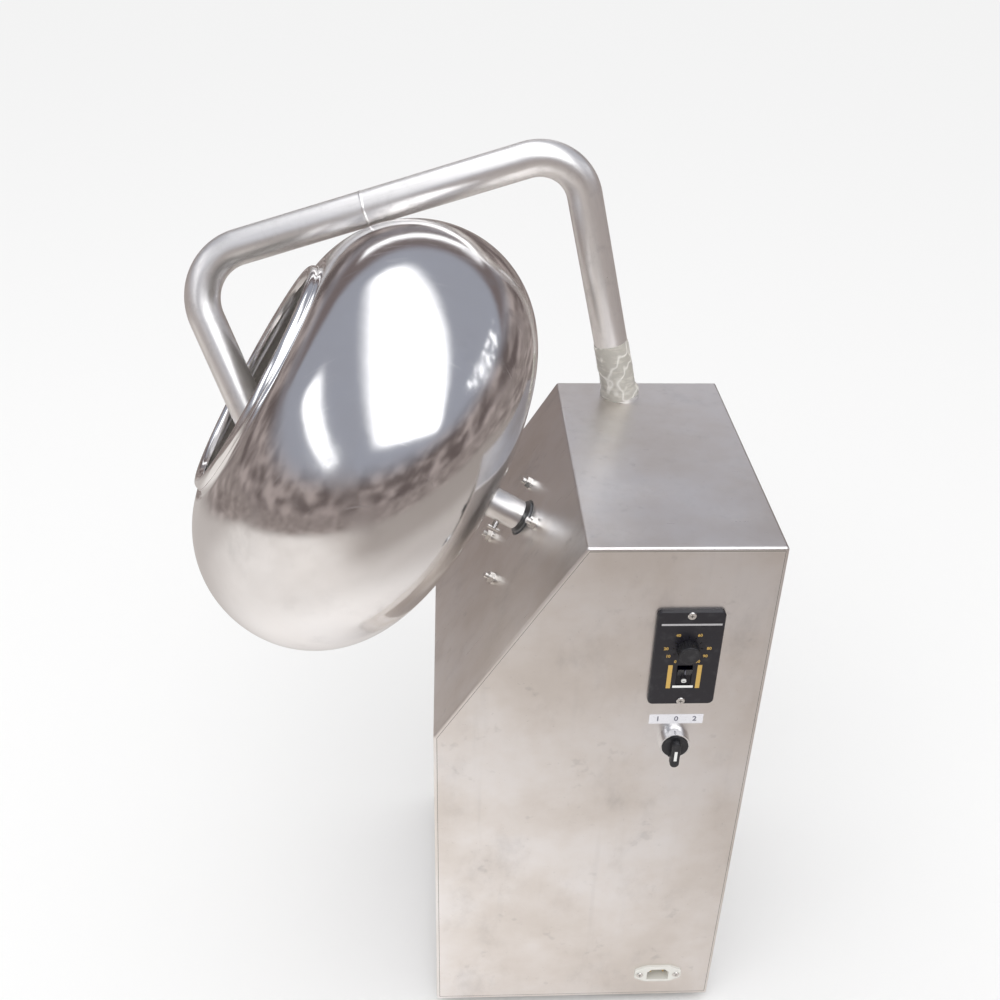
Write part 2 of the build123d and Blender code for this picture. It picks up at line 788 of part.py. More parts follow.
# Drum of forward-curved blades between a back plate and a front ring
impeller_front = scroll_plane.offset((duct_depth - impeller_width) / 2)
impeller_back = impeller_front.offset(impeller_width)
impeller_edge = impeller_radius - impeller_inner_radius
with BuildPart() as blower_impeller:
    with BuildSketch(impeller_back):
        Circle(impeller_radius)
    extrude(amount=-impeller_plate)
    with BuildSketch(impeller_front):
        Circle(impeller_radius)
        Circle(impeller_inner_radius + impeller_edge / 2, mode=Mode.SUBTRACT)
    extrude(amount=impeller_plate)
    with BuildSketch(impeller_front):
        with PolarLocations(0, impeller_blades):
            with BuildLine():
                concave = ThreePointArc(
                    (impeller_inner_radius, 0),
                    (impeller_inner_radius + impeller_edge * 0.6, impeller_edge * 0.15),
                    (impeller_radius - 0.2, impeller_edge * 0.55),
                )
                convex = ThreePointArc(
                    (impeller_inner_radius, -impeller_blade),
                    (impeller_inner_radius + impeller_edge * 0.68, impeller_edge * 0.15 - impeller_blade),
                    (impeller_radius - 0.2, impeller_edge * 0.55 - impeller_blade),
                )
                Line(concave @ 0, convex @ 0)
                Line(concave @ 1, convex @ 1)
            make_face()
    extrude(amount=impeller_width)
    with BuildSketch(impeller_back):
        Circle(impeller_hub_radius)
    extrude(amount=-impeller_width / 2)
    with BuildSketch(impeller_back):
        Circle(blower_shaft_radius)
    extrude(amount=-impeller_width, mode=Mode.SUBTRACT)
write(blower_impeller, "blower_impeller")

blower_motor_face = scroll_plane.offset(duct_depth)
with BuildPart() as blower_shaft:
    with BuildSketch(impeller_back.offset(-impeller_width / 2)):
        Circle(blower_shaft_radius)
    extrude(amount=impeller_width / 2 + duct_depth)
write(blower_shaft, "blower_shaft")

with BuildPart() as blower_motor:
    with BuildSketch(blower_motor_face):
        Circle(blower_motor_radius)
    extrude(amount=blower_motor_length)
    fillet(faces().sort_by(Axis.Y)[0].edges(), 5)
    with BuildSketch(blower_motor_face):
        Circle(blower_shaft_radius + running_gap)
    extrude(amount=blower_motor_length - 2, mode=Mode.SUBTRACT)
    with BuildSketch(blower_motor_face):
        Circle(blower_shaft_hole)
    extrude(amount=2, mode=Mode.SUBTRACT)
write(blower_motor, "blower_motor")

# Speed control: a flat face outside the panel and a closed case behind it
control_plane = Plane(front_face.location * Location((control_x, control_z, 0)))
knob_plane = Plane(control_plane.location * Location((0, knob_rise, control_face_depth)))
rocker_middle = Plane(control_plane.location * Location((0, -rocker_drop, control_face_depth)))
pivot_plane = rocker_middle.offset(-rocker_pivot_depth)
rocker_space = rocker_width / 2 + moving_gap
pocket_depth = control_face_depth + rocker_pivot_depth + rocker_back
with BuildPart() as control_face:
    with BuildSketch(control_plane):
        RectangleRounded(control_width, control_height, control_corner)
        with GridLocations(0, control_screw_pitch, 1, 2):
            Circle(m4, mode=Mode.SUBTRACT)
    extrude(amount=control_face_depth)
    chamfer(faces().sort_by(Axis.Y)[0].outer_wire().edges(), 0.8)
    with BuildSketch(knob_plane):
        Circle(spindle_radius + running_gap)
    extrude(amount=-control_face_depth, mode=Mode.SUBTRACT)
    with BuildSketch(rocker_middle):
        Rectangle(2 * rocker_space, rocker_slot)
    extrude(amount=-control_face_depth, mode=Mode.SUBTRACT)
write(control_face, "control_face")

with BuildPart() as control_case:
    with BuildSketch(control_plane):
        Rectangle(control_case_width, control_case_height)
    extrude(amount=-control_case_depth)
    chamfer(faces().sort_by(Axis.Y)[-1].edges(), 2)
    with BuildSketch(rocker_middle):
        Rectangle(2 * rocker_space, rocker_slot)
    extrude(amount=-pocket_depth, mode=Mode.SUBTRACT)
    with BuildSketch(knob_plane):
        Circle(spindle_radius + running_gap)
    extrude(amount=-spindle_depth - moving_gap, mode=Mode.SUBTRACT)
    with BuildSketch(Plane(origin=pivot_plane.origin, x_dir=(0, 1, 0), z_dir=(1, 0, 0))):
        Circle(rocker_pin_radius)
    extrude(amount=rocker_pin_length / 2, both=True, mode=Mode.SUBTRACT)
write(control_case, "control_case")

with BuildPart() as control_screws:
    with BuildSketch(control_plane.offset(control_face_depth)):
        with GridLocations(0, control_screw_pitch, 1, 2):
            Circle(m4_head)
    extrude(amount=m4_head_height / 2)
    chamfer(faces().group_by(Axis.Y)[0].edges(), m4_head_height / 5)
    with BuildSketch(control_plane.offset(control_face_depth)):
        with GridLocations(0, control_screw_pitch, 1, 2):
            Circle(m4)
    extrude(amount=-m4_length)
write(control_screws, "control_screws")

with BuildPart() as speed_knob:
    with BuildSketch(knob_plane.offset(moving_gap)):
        Circle(knob_radius)
    extrude(amount=knob_height, taper=4)
    fillet(faces().sort_by(Axis.Y)[0].edges(), 0.8)
    with BuildSketch(knob_plane.offset(moving_gap)):
        with PolarLocations(knob_radius + knob_flute / 2, knob_flutes):
            Circle(1.5 * knob_flute)
    extrude(amount=knob_height, mode=Mode.SUBTRACT)
    with BuildSketch(knob_plane.offset(moving_gap)):
        Circle(spindle_radius)
    extrude(amount=knob_height / 2, mode=Mode.SUBTRACT)
write(speed_knob, "speed_knob")

with BuildPart() as speed_spindle:
    with BuildSketch(knob_plane.offset(-spindle_depth)):
        Circle(spindle_radius)
    extrude(amount=spindle_depth + moving_gap + knob_height / 2)
write(speed_spindle, "speed_spindle")

# Rocker: its lower half is pressed in at rest, and it tips about a cross pin
across = Plane(origin=pivot_plane.origin, x_dir=(0, -1, 0), z_dir=(1, 0, 0))
tipped = Plane(across.location * Location((0, 0, 0), (0, 0, rocker_tilt)))
with BuildPart() as power_rocker:
    with BuildSketch(tipped):
        with BuildLine():
            Polyline(
                (-rocker_back, -rocker_half + 1),
                (rocker_crown, -rocker_half),
                (rocker_valley, 0),
                (rocker_crown, rocker_half),
                (-rocker_back, rocker_half - 1),
                close=True,
            )
        make_face()
        Circle(rocker_pin_radius + running_gap, mode=Mode.SUBTRACT)
    extrude(amount=rocker_width / 2, both=True)
write(power_rocker, "power_rocker")

with BuildPart() as rocker_pin:
    with BuildSketch(across):
        Circle(rocker_pin_radius)
    extrude(amount=rocker_pin_length / 2, both=True)
write(rocker_pin, "rocker_pin")

# Hot air selector: bezel with a threaded neck, lever knob, ring nut and contact block
selector_plane = Plane(front_face.location * Location((selector_x, selector_z, 0)))
with BuildPart() as selector_bezel:
    with BuildSketch(selector_plane):
        Circle(selector_ring_radius)
    extrude(amount=selector_ring_height, taper=selector_ring_taper)
    with BuildSketch(selector_plane):
        Circle(selector_neck)
    extrude(amount=-selector_neck_depth)
    with BuildSketch(selector_plane.offset(selector_ring_height)):
        Circle(selector_bore + moving_gap)
    extrude(amount=-selector_disc_height - moving_gap, mode=Mode.SUBTRACT)
    with BuildSketch(selector_plane.offset(selector_ring_height)):
        Circle(selector_stem_radius + running_gap)
    extrude(amount=-selector_ring_height - selector_neck_depth, mode=Mode.SUBTRACT)
write(selector_bezel, "selector_bezel")

with BuildPart() as selector_knob:
    with BuildSketch(selector_plane.offset(selector_ring_height - selector_disc_height)):
        Circle(selector_bore)
    extrude(amount=selector_disc_height + 1)
    with BuildSketch(selector_plane.offset(selector_ring_height + 1)):
        with Locations((0, selector_lever_back - selector_lever_length / 2)):
            SlotOverall(selector_lever_length, selector_lever_width, rotation=90)
    extrude(amount=selector_lever_height)
    fillet(faces().sort_by(Axis.Y)[0].edges(), 1.2)
    with BuildSketch(selector_plane.offset(selector_ring_height - selector_disc_height)):
        Circle(selector_stem_radius)
    extrude(amount=-selector_neck_depth - selector_ring_height + selector_disc_height + moving_gap)
write(selector_knob, "selector_knob")

with BuildPart() as selector_nut:
    with BuildSketch(selector_plane.offset(-sheet)):
        RegularPolygon(selector_nut_width / 2, 6, major_radius=False)
        Circle(selector_neck, mode=Mode.SUBTRACT)
    extrude(amount=-selector_nut_height)
write(selector_nut, "selector_nut")

with BuildPart() as selector_contacts:
    with BuildSketch(selector_plane.offset(-selector_neck_depth)):
        RectangleRounded(contact_width, contact_width, 2)
    extrude(amount=-contact_depth)
    with BuildSketch(selector_plane.offset(-selector_neck_depth)):
        with GridLocations(contact_width - 6, contact_width / 3, 2, 2):
            Circle(m4)
    extrude(amount=-contact_depth / 6, mode=Mode.SUBTRACT)
write(selector_contacts, "selector_contacts")

# Power inlet with three pins
inlet_plane = Plane(front_face.location * Location((inlet_x, inlet_z, 0)))
with BuildPart() as inlet_body:
    with BuildSketch(inlet_plane):
        with BuildLine():
            end_half = inlet_end / 2
            Polyline(
                (-inlet_width / 2, -end_half),
                (-inlet_body_width / 2, -inlet_height / 2),
                (inlet_body_width / 2, -inlet_height / 2),
                (inlet_width / 2, -end_half),
                (inlet_width / 2, end_half),
                (inlet_body_width / 2, inlet_height / 2),
                (-inlet_body_width / 2, inlet_height / 2),
                (-inlet_width / 2, end_half),
                close=True,
            )
        make_face()
        fillet(vertices(), 3)
        with GridLocations(inlet_pitch, 0, 2, 1):
            Circle(m4, mode=Mode.SUBTRACT)
    extrude(amount=inlet_flange)
    fillet(faces().sort_by(Axis.Y)[0].outer_wire().edges(), 0.8)
    with BuildSketch(inlet_plane):
        Rectangle(inlet_body_width, inlet_body_height)
    extrude(amount=-inlet_body_depth)
    hollow_width = inlet_body_width - 2 * inlet_wall
    hollow_height = inlet_body_height - 2 * inlet_wall
    with BuildSketch(inlet_plane.offset(inlet_flange)):
        Rectangle(hollow_width, hollow_height)
        chamfer(vertices().group_by(Axis.Y)[-1], inlet_corner)
    extrude(amount=-inlet_hollow_depth, mode=Mode.SUBTRACT)
write(inlet_body, "inlet_body")

inlet_floor = inlet_plane.offset(inlet_flange - inlet_hollow_depth)
pin_places = [(-pin_spacing, -pin_step), (0, pin_step), (pin_spacing, -pin_step)]
with BuildPart() as inlet_pins:
    with BuildSketch(inlet_floor):
        with Locations(pin_places):
            Rectangle(pin_width, pin_height)
    extrude(amount=pin_length)
    chamfer(faces().group_by(Axis.Y)[0].edges(), 0.5)
write(inlet_pins, "inlet_pins")

with BuildPart() as inlet_screws:
    with BuildSketch(inlet_plane.offset(inlet_flange)):
        with GridLocations(inlet_pitch, 0, 2, 1):
            Circle(m4_head)
    extrude(amount=m4_head_height / 2)
    chamfer(faces().group_by(Axis.Y)[0].edges(), m4_head_height / 5)
    with BuildSketch(inlet_plane.offset(inlet_flange)):
        with GridLocations(inlet_pitch, 0, 2, 1):
            Circle(m4)
    extrude(amount=-m4_length)
write(inlet_screws, "inlet_screws")

# Motor capacitor under a strap on the base
cap_length, cap_depth, cap_height = capacitor_size
cap_x = cab_x + capacitor_place[0]
cap_y = capacitor_place[1]
with BuildPart() as motor_capacitor:
    with BuildSketch(base_top):
        with Locations((cap_x, cap_y)):
            RectangleRounded(cap_length, cap_depth, 3)
    extrude(amount=cap_height)
write(motor_capacitor, "motor_capacitor")

strap_plane = Plane(origin=(cap_x, cap_y, foot_height + base_sheet), x_dir=(0, 1, 0), z_dir=(1, 0, 0))
with BuildPart() as capacitor_clamp:
    with BuildSketch(strap_plane):
        with Locations((0, (cap_height + clamp_strap) / 2)):
            Rectangle(cap_depth + 2 * clamp_strap, cap_height + clamp_strap)
        with Locations((0, clamp_strap / 2)):
            Rectangle(cap_depth + 2 * clamp_strap + 2 * clamp_foot, clamp_strap)
        with Locations((0, cap_height / 2)):
            Rectangle(cap_depth, cap_height, mode=Mode.SUBTRACT)
    extrude(amount=clamp_strap_width / 2, both=True)
write(capacitor_clamp, "capacitor_clamp")

# Terminal block on the base
with BuildPart() as terminal_block:
    with BuildSketch(base_top):
        with Locations((cab_x + block_place[0], block_place[1])):
            Rectangle(block_ways * block_pitch, block_size[0])
    extrude(amount=block_size[1])
    with BuildSketch(base_top.offset(block_size[1])):
        with Locations((cab_x + block_place[0], block_place[1])):
            with GridLocations(block_pitch, block_size[0] / 2, block_ways, 2):
                Circle(m4)
    extrude(amount=-block_size[1] / 2, mode=Mode.SUBTRACT)
write(terminal_block, "terminal_block")
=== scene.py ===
import json
import logging
import math
from collections.abc import Callable, Sequence
from dataclasses import dataclass, field
from enum import Enum

import bmesh
import bpy
import numpy as np
from mathutils import Matrix, Vector


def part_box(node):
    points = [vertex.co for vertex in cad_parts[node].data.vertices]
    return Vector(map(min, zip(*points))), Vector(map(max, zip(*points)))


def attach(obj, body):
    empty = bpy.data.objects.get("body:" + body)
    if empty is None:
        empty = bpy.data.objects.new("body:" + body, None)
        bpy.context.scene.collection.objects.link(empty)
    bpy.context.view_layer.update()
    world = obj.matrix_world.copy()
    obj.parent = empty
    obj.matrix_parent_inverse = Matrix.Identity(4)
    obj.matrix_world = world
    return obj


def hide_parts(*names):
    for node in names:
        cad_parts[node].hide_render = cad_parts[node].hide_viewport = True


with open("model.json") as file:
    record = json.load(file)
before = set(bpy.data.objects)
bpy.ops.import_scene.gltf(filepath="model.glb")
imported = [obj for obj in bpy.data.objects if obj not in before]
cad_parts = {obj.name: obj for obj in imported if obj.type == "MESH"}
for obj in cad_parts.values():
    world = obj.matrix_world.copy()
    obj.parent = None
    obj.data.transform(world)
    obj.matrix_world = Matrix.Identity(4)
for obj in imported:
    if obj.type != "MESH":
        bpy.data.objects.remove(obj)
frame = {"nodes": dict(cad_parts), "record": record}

log = logging.getLogger("coating_pan")
MM = 0.001
Colour = tuple[float, float, float]
Array = np.ndarray


# Where things are

CABINET_X = 117.6
HALF_WIDTH = 150.0
HALF_DEPTH = 156.0
FOOT_HEIGHT = 12.0
CABINET_TOP = 612.0
SLANT_RUN = 130.0
SLANT_RISE = 210.0
SHAFT_UP_SLOPE = 165.0
SLOPE = math.atan2(SLANT_RISE, SLANT_RUN)
SLOPE_DIR = np.array([math.cos(SLOPE), 0.0, math.sin(SLOPE)])
SLANT_NORMAL = np.array([-math.sin(SLOPE), 0.0, math.cos(SLOPE)])
SLANT_FOOT = np.array([CABINET_X - HALF_WIDTH, 0.0, CABINET_TOP - SLANT_RISE])
SHAFT_POINT = SLANT_FOOT + SLOPE_DIR * SHAFT_UP_SLOPE
ACROSS = np.array([0.0, 1.0, 0.0])


class Body(Enum):
    """The frame's bodies that new pieces ride on."""

    CABINET = "cabinet"
    PAN = "pan"
    KNOB = "knob"
    ROCKER = "rocker"
    SELECTOR = "selector"


# Shader writing

class Signal:
    """One output socket, with arithmetic that adds Math nodes to its tree."""

    def __init__(self, recipe: "Recipe", socket: bpy.types.NodeSocket) -> None:
        """Keep the socket and the recipe it belongs to."""
        self.recipe = recipe
        self.socket = socket

    def _math(self, operation: str, *values: "Signal | float", clamp: bool = False) -> "Signal":
        """Add one Math node.

        Args:
            operation: the node's operation.
            values: its inputs in order.
            clamp: keep the result within 0 and 1.

        Returns:
            The node's result.
        """
        node = self.recipe.add("ShaderNodeMath", {"operation": operation, "use_clamp": clamp}, dict(enumerate(values)))
        return Signal(self.recipe, node.outputs[0])

    def __add__(self, other: "Signal | float") -> "Signal":
        """Sum."""
        return self._math("ADD", self, other)

    def __sub__(self, other: "Signal | float") -> "Signal":
        """Difference."""
        return self._math("SUBTRACT", self, other)

    def __rsub__(self, other: "Signal | float") -> "Signal":
        """Difference with this signal on the right."""
        return self._math("SUBTRACT", other, self)

    def __mul__(self, other: "Signal | float") -> "Signal":
        """Product."""
        return self._math("MULTIPLY", self, other)

    def __truediv__(self, other: "Signal | float") -> "Signal":
        """Quotient."""
        return self._math("DIVIDE", self, other)

    __radd__ = __add__
    __rmul__ = __mul__

    def maximum(self, other: "Signal | float") -> "Signal":
        """The larger of the two."""
        return self._math("MAXIMUM", self, other)

    def clamped(self) -> "Signal":
        """This signal kept within 0 and 1."""
        return self._math("ADD", self, 0.0, clamp=True)

    def step(self, low: float, high: float) -> "Signal":
        """Smooth step from 0 at low to 1 at high, or the reverse where low is the larger.

        Args:
            low: the value that gives 0.
            high: the value that gives 1.

        Returns:
            The step.
        """
        flip = low > high
        values = {"Value": self, 1: min(low, high), 2: max(low, high), 3: float(flip), 4: float(not flip)}
        node = self.recipe.add("ShaderNodeMapRange", {"interpolation_type": "SMOOTHSTEP"}, values)
        return Signal(self.recipe, node.outputs[0])


class Recipe:
    """A node tree being written."""

    def __init__(self, tree: bpy.types.NodeTree) -> None:
        """Empty the tree."""
        self.tree = tree
        tree.nodes.clear()

    def add(self, kind: str, settings: dict | None = None, values: dict | None = None) -> bpy.types.Node:
        """Make a node.

        Args:
            kind: the node's type.
            settings: its properties, set first; a ramp's stops are given as "stops".
            values: socket name or number to a value, a Signal or a socket.

        Returns:
            The node.
        """
        node = self.tree.nodes.new(kind)
        for name, value in (settings or {}).items():
            if name == "stops":
                self._fill_ramp(node, value)
            else:
                setattr(node, name, value)
        for key, value in (values or {}).items():
            target = node.inputs[key]
            if isinstance(value, Signal):
                self.tree.links.new(value.socket, target)
            elif isinstance(value, bpy.types.NodeSocket):
                self.tree.links.new(value, target)
            elif isinstance(value, (int, float)):
                target.default_value = value
            else:
                target.default_value = (*value, 1.0) if len(target.default_value) == 4 else tuple(value)
        return node

    @staticmethod
    def _fill_ramp(node: bpy.types.Node, stops: Sequence[tuple[float, Colour]]) -> None:
        """Give a ramp its stops."""
        elements = node.color_ramp.elements
        while len(elements) < len(stops):
            elements.new(0.5)
        for element, (place, colour) in zip(elements, stops):
            element.position = place
            element.color = (*colour, 1.0)

    def coordinates(self, output: str = "Object") -> bpy.types.NodeSocket:
        """Texture coordinates of the piece."""
        return self.add("ShaderNodeTexCoord").outputs[output]

    def mapped(self, source: bpy.types.NodeSocket, scale: Colour, turn: Colour = (0.0, 0.0, 0.0)) -> bpy.types.NodeSocket:
        """Coordinates turned and stretched.

        Args:
            source: the coordinates.
            scale: stretch along each axis.
            turn: rotation in radians.

        Returns:
            The new coordinates.
        """
        node = self.add("ShaderNodeMapping", {}, {"Vector": source, "Rotation": turn, "Scale": scale})
        return node.outputs[0]

    def noise(self, source: bpy.types.NodeSocket, scale: float, detail: float = 4.0, rough: float = 0.55) -> Signal:
        """Fractal noise from 0 to 1."""
        values = {"Vector": source, "Scale": scale, "Detail": detail, "Roughness": rough}
        return Signal(self, self.add("ShaderNodeTexNoise", {}, values).outputs[0])

    def mix(self, share: "Signal | float", first: object, second: object, blend: str = "MIX") -> bpy.types.NodeSocket:
        """Colours mixed by share."""
        values = {0: share, 6: first, 7: second}
        return self.add("ShaderNodeMix", {"data_type": "RGBA", "blend_type": blend}, values).outputs[2]

    def bump(self, height: Signal, strength: float, distance: float, under: object = None) -> bpy.types.NodeSocket:
        """A normal from a height.

        Args:
            height: the height signal.
            strength: how strongly it counts.
            distance: the height of 1 in metres.
            under: another bump's normal to build on.

        Returns:
            The normal.
        """
        values = {"Strength": strength, "Distance": distance, "Height": height}
        if under is not None:
            values["Normal"] = under
        return self.add("ShaderNodeBump", {}, values).outputs[0]

    def scratches(self, source: bpy.types.NodeSocket, turn: float, density: float) -> Signal:
        """Short fine lines: stretched noise kept only where it is highest.

        Args:
            source: the coordinates.
            turn: the lines' direction in radians.
            density: from 0, none, to 1, many.

        Returns:
            1 on a line and 0 elsewhere.
        """
        long_way = self.mapped(source, (14.0, 900.0, 14.0), (turn, turn * 0.7, turn * 1.3))
        edge = 0.74 - 0.1 * density
        return self.noise(long_way, 1.0, 2.0).step(edge, edge + 0.03)

    def surface(self, base: object, rough: object, metal: float, normal: object = None, **extra: object) -> None:
        """Finish the material with a Principled shader.

        Args:
            base: colour value or socket.
            rough: roughness value or signal.
            metal: metallic share.
            normal: a normal socket.
            extra: other sockets' values, with _ for spaces.
        """
        values = {"Base Color": base, "Roughness": rough, "Metallic": metal}
        if normal is not None:
            values["Normal"] = normal
        values.update({key.replace("_", " ").title(): value for key, value in extra.items()})
        shader = self.add("ShaderNodeBsdfPrincipled", {}, values)
        self.add("ShaderNodeOutputMaterial", {}, {"Surface": shader.outputs[0]})


# Finishes

@dataclass(frozen=True)
class Finish:
    """A named surface finish. A subclass writes its shader."""

    name: str
    base: Colour
    rough: float

    def shade(self, recipe: Recipe) -> None:
        """Write the shader."""
        raise NotImplementedError

    def material(self) -> bpy.types.Material:
        """The material, made once.

        Returns:
            The Blender material of this name.
        """
        found = bpy.data.materials.get(self.name)
        if found is None:
            found = bpy.data.materials.new(self.name)
            found.use_nodes = True
            self.shade(Recipe(found.node_tree))
        return found

    def tinted(self, share: float) -> Colour:
        """The base colour scaled by share."""
        return tuple(channel * share for channel in self.base)


@dataclass(frozen=True)
class SatinSheet(Finish):
    """Rolled stainless sheet: cloudy smudges, water stains, specks, fine grain and scratches."""

    stain: float = 1.0
    grain: Colour = (700.0, 700.0, 12.0)

    def shade(self, recipe: Recipe) -> None:
        """Stains darken and dull the sheet; grain and scratches feed the bump."""
        place = recipe.coordinates()
        cloud = recipe.noise(place, 7.0, 5.0, 0.6)
        smudge = recipe.noise(recipe.mapped(place, (21.0, 21.0, 13.0)), 1.0, 6.0, 0.65)
        spots = recipe.noise(place, 48.0, 3.0).step(0.64, 0.74)
        specks = recipe.noise(place, 310.0, 2.0).step(0.70, 0.76)
        grain = recipe.noise(recipe.mapped(place, self.grain), 1.0, 3.0)
        lines = recipe.scratches(place, 0.4, 0.05).maximum(recipe.scratches(place, 1.9, 0.0))
        drip = recipe.noise(recipe.mapped(place, (60.0, 60.0, 5.0)), 1.0, 3.0).step(0.58, 0.78)
        shade = cloud.step(0.35, 0.75) * (0.16 * self.stain) + smudge.step(0.5, 0.8) * (0.13 * self.stain)
        shade = shade + spots * (0.10 * self.stain) + specks * 0.12 + drip * (0.05 * self.stain)
        warm = recipe.mix(cloud.step(0.3, 0.7), self.base, (self.base[0], self.base[1] * 0.955, self.base[2] * 0.90))
        dark = recipe.mix(shade.clamped(), warm, self.tinted(0.30))
        light = recipe.mix(lines * 0.35, dark, (0.9, 0.88, 0.86))
        rough = cloud * 0.10 + grain * 0.08 + smudge.step(0.45, 0.8) * 0.12 + (self.rough - 0.09) - lines * 0.08
        fine = recipe.bump(grain, 0.10, 0.00012)
        dent = recipe.bump(recipe.noise(place, 5.0, 1.0), 0.25, 0.0012, fine)
        normal = recipe.bump(lines, 0.08, 0.00008, dent)
        recipe.surface(light, rough, 1.0, normal)


@dataclass(frozen=True)
class MirrorSteel(Finish):
    """Polished spun stainless: slight waves, polishing marks that follow the turn, dull patches."""

    wave: float = 1.0
    patch: float = 1.0

    def shade(self, recipe: Recipe) -> None:
        """Waves bend what is reflected; marks and dull patches change the roughness."""
        place = recipe.coordinates()
        turned = recipe.coordinates("UV")
        marks = recipe.noise(recipe.mapped(turned, (5.0, 420.0, 1.0)), 1.0, 3.0)
        cloud = recipe.noise(place, 11.0, 5.0, 0.62)
        dull = recipe.noise(recipe.mapped(place, (19.0, 19.0, 15.0)), 1.0, 5.0, 0.6).step(0.52, 0.76)
        lines = recipe.scratches(place, 0.9, 0.45).maximum(recipe.scratches(place, 2.4, 0.4))
        haze = recipe.noise(recipe.mapped(turned, (2.0, 60.0, 1.0)), 1.0, 4.0).step(0.55, 0.8)
        tint = recipe.mix(cloud.step(0.3, 0.75) * 0.5, self.base, (self.base[0] * 0.93, self.base[1] * 0.905, self.base[2] * 0.88))
        base = recipe.mix((dull * 0.24 + lines * 0.06) * self.patch, tint, self.tinted(0.45))
        rough = marks * 0.035 + dull * (0.13 * self.patch) + haze * 0.06 + lines * 0.10 + (self.rough - 0.02)
        waves = recipe.noise(recipe.mapped(turned, (14.0, 9.0, 1.0)), 1.0, 1.0)
        wide = recipe.bump(waves, 0.5 * self.wave, 0.0016)
        dents = recipe.bump(recipe.noise(place, 34.0, 2.0), 0.22 * self.wave, 0.0005, wide)
        fine = recipe.bump(marks, 0.05, 0.00006, dents)
        recipe.surface(base, rough, 1.0, recipe.bump(lines, 0.2, 0.00004, fine))


@dataclass(frozen=True)
class TubeSteel(Finish):
    """Ground stainless tube: grinding rings, long smears and dull patches."""

    ring: float = 1.0
    metal: float = 0.88

    def shade(self, recipe: Recipe) -> None:
        """Grinding rings run round the tube and smears run along it."""
        place = recipe.coordinates()
        along = recipe.coordinates("UV")
        rings = recipe.noise(recipe.mapped(along, (3.0, 900.0, 1.0)), 1.0, 3.0)
        smear = recipe.noise(recipe.mapped(along, (9.0, 16.0, 1.0)), 1.0, 5.0, 0.65)
        patch = recipe.noise(place, 60.0, 5.0, 0.65).step(0.50, 0.72)
        lines = recipe.scratches(place, 0.6, 0.5)
        base = recipe.mix(smear.step(0.4, 0.75) * 0.35, self.base, self.tinted(0.62))
        base = recipe.mix(patch * 0.18, base, self.tinted(0.4))
        rough = rings * (0.10 * self.ring) + smear.step(0.35, 0.8) * 0.16 + patch * 0.08 + (self.rough - 0.12)
        fine = recipe.bump(rings, 0.14 * self.ring, 0.00008)
        soft = recipe.bump(smear, 0.20, 0.0004, fine)
        recipe.surface(base, rough, self.metal, recipe.bump(lines, 0.2, 0.00005, soft))


@dataclass(frozen=True)
class Alloy(Finish):
    """Plain or cast metal with pits, grime and rubbed spots."""

    pit: float = 1.0
    metal: float = 1.0

    def shade(self, recipe: Recipe) -> None:
        """Pits make the bump, and grime darkens and dulls."""
        place = recipe.coordinates()
        cast = recipe.noise(place, 420.0, 3.0)
        grime = recipe.noise(place, 33.0, 5.0, 0.6).step(0.48, 0.76)
        rub = recipe.noise(place, 90.0, 4.0).step(0.6, 0.74)
        base = recipe.mix(grime * 0.4, self.base, self.tinted(0.45))
        base = recipe.mix(rub * 0.25, base, self.tinted(1.25))
        rough = cast * 0.12 + grime * 0.14 + (self.rough - 0.08) - rub * 0.06
        recipe.surface(base, rough, self.metal, recipe.bump(cast, 0.25 * self.pit, 0.00012))


@dataclass(frozen=True)
class Moulded(Finish):
    """Moulded plastic: fine texture, dust, specks and finger marks."""

    dust: float = 1.0
    gloss: float = 0.0

    def shade(self, recipe: Recipe) -> None:
        """Dust lightens and dulls in soft patches; fine texture makes the bump."""
        place = recipe.coordinates()
        texture = recipe.noise(place, 1500.0, 2.0)
        dust = recipe.noise(place, 120.0, 5.0, 0.65).step(0.5, 0.8)
        print_marks = recipe.noise(recipe.mapped(place, (55.0, 55.0, 90.0)), 1.0, 4.0).step(0.5, 0.75)
        specks = recipe.noise(place, 900.0, 1.0).step(0.72, 0.78)
        grey = tuple(min(1.0, channel * 0.6 + 0.22) for channel in self.base)
        base = recipe.mix((dust * 0.14 + specks * 0.25) * self.dust, self.base, grey)
        rough = texture * 0.06 + dust * 0.15 + print_marks * 0.10 + (self.rough - 0.06)
        normal = recipe.bump(texture, 0.18, 0.00005)
        recipe.surface(base, rough, 0.0, normal, coat_weight=self.gloss, coat_roughness=0.12)


@dataclass(frozen=True)
class Ink(Finish):
    """Printed ink or paper with faint wear."""

    metal: float = 0.0

    def shade(self, recipe: Recipe) -> None:
        """Wear thins the colour in small spots."""
        place = recipe.coordinates()
        wear = recipe.noise(place, 700.0, 3.0).step(0.52, 0.74)
        cloud = recipe.noise(place, 150.0, 3.0)
        base = recipe.mix(wear * 0.30, self.base, self.tinted(0.6))
        recipe.surface(base, cloud * 0.15 + (self.rough - 0.07), self.metal, recipe.bump(cloud, 0.1, 0.00004))


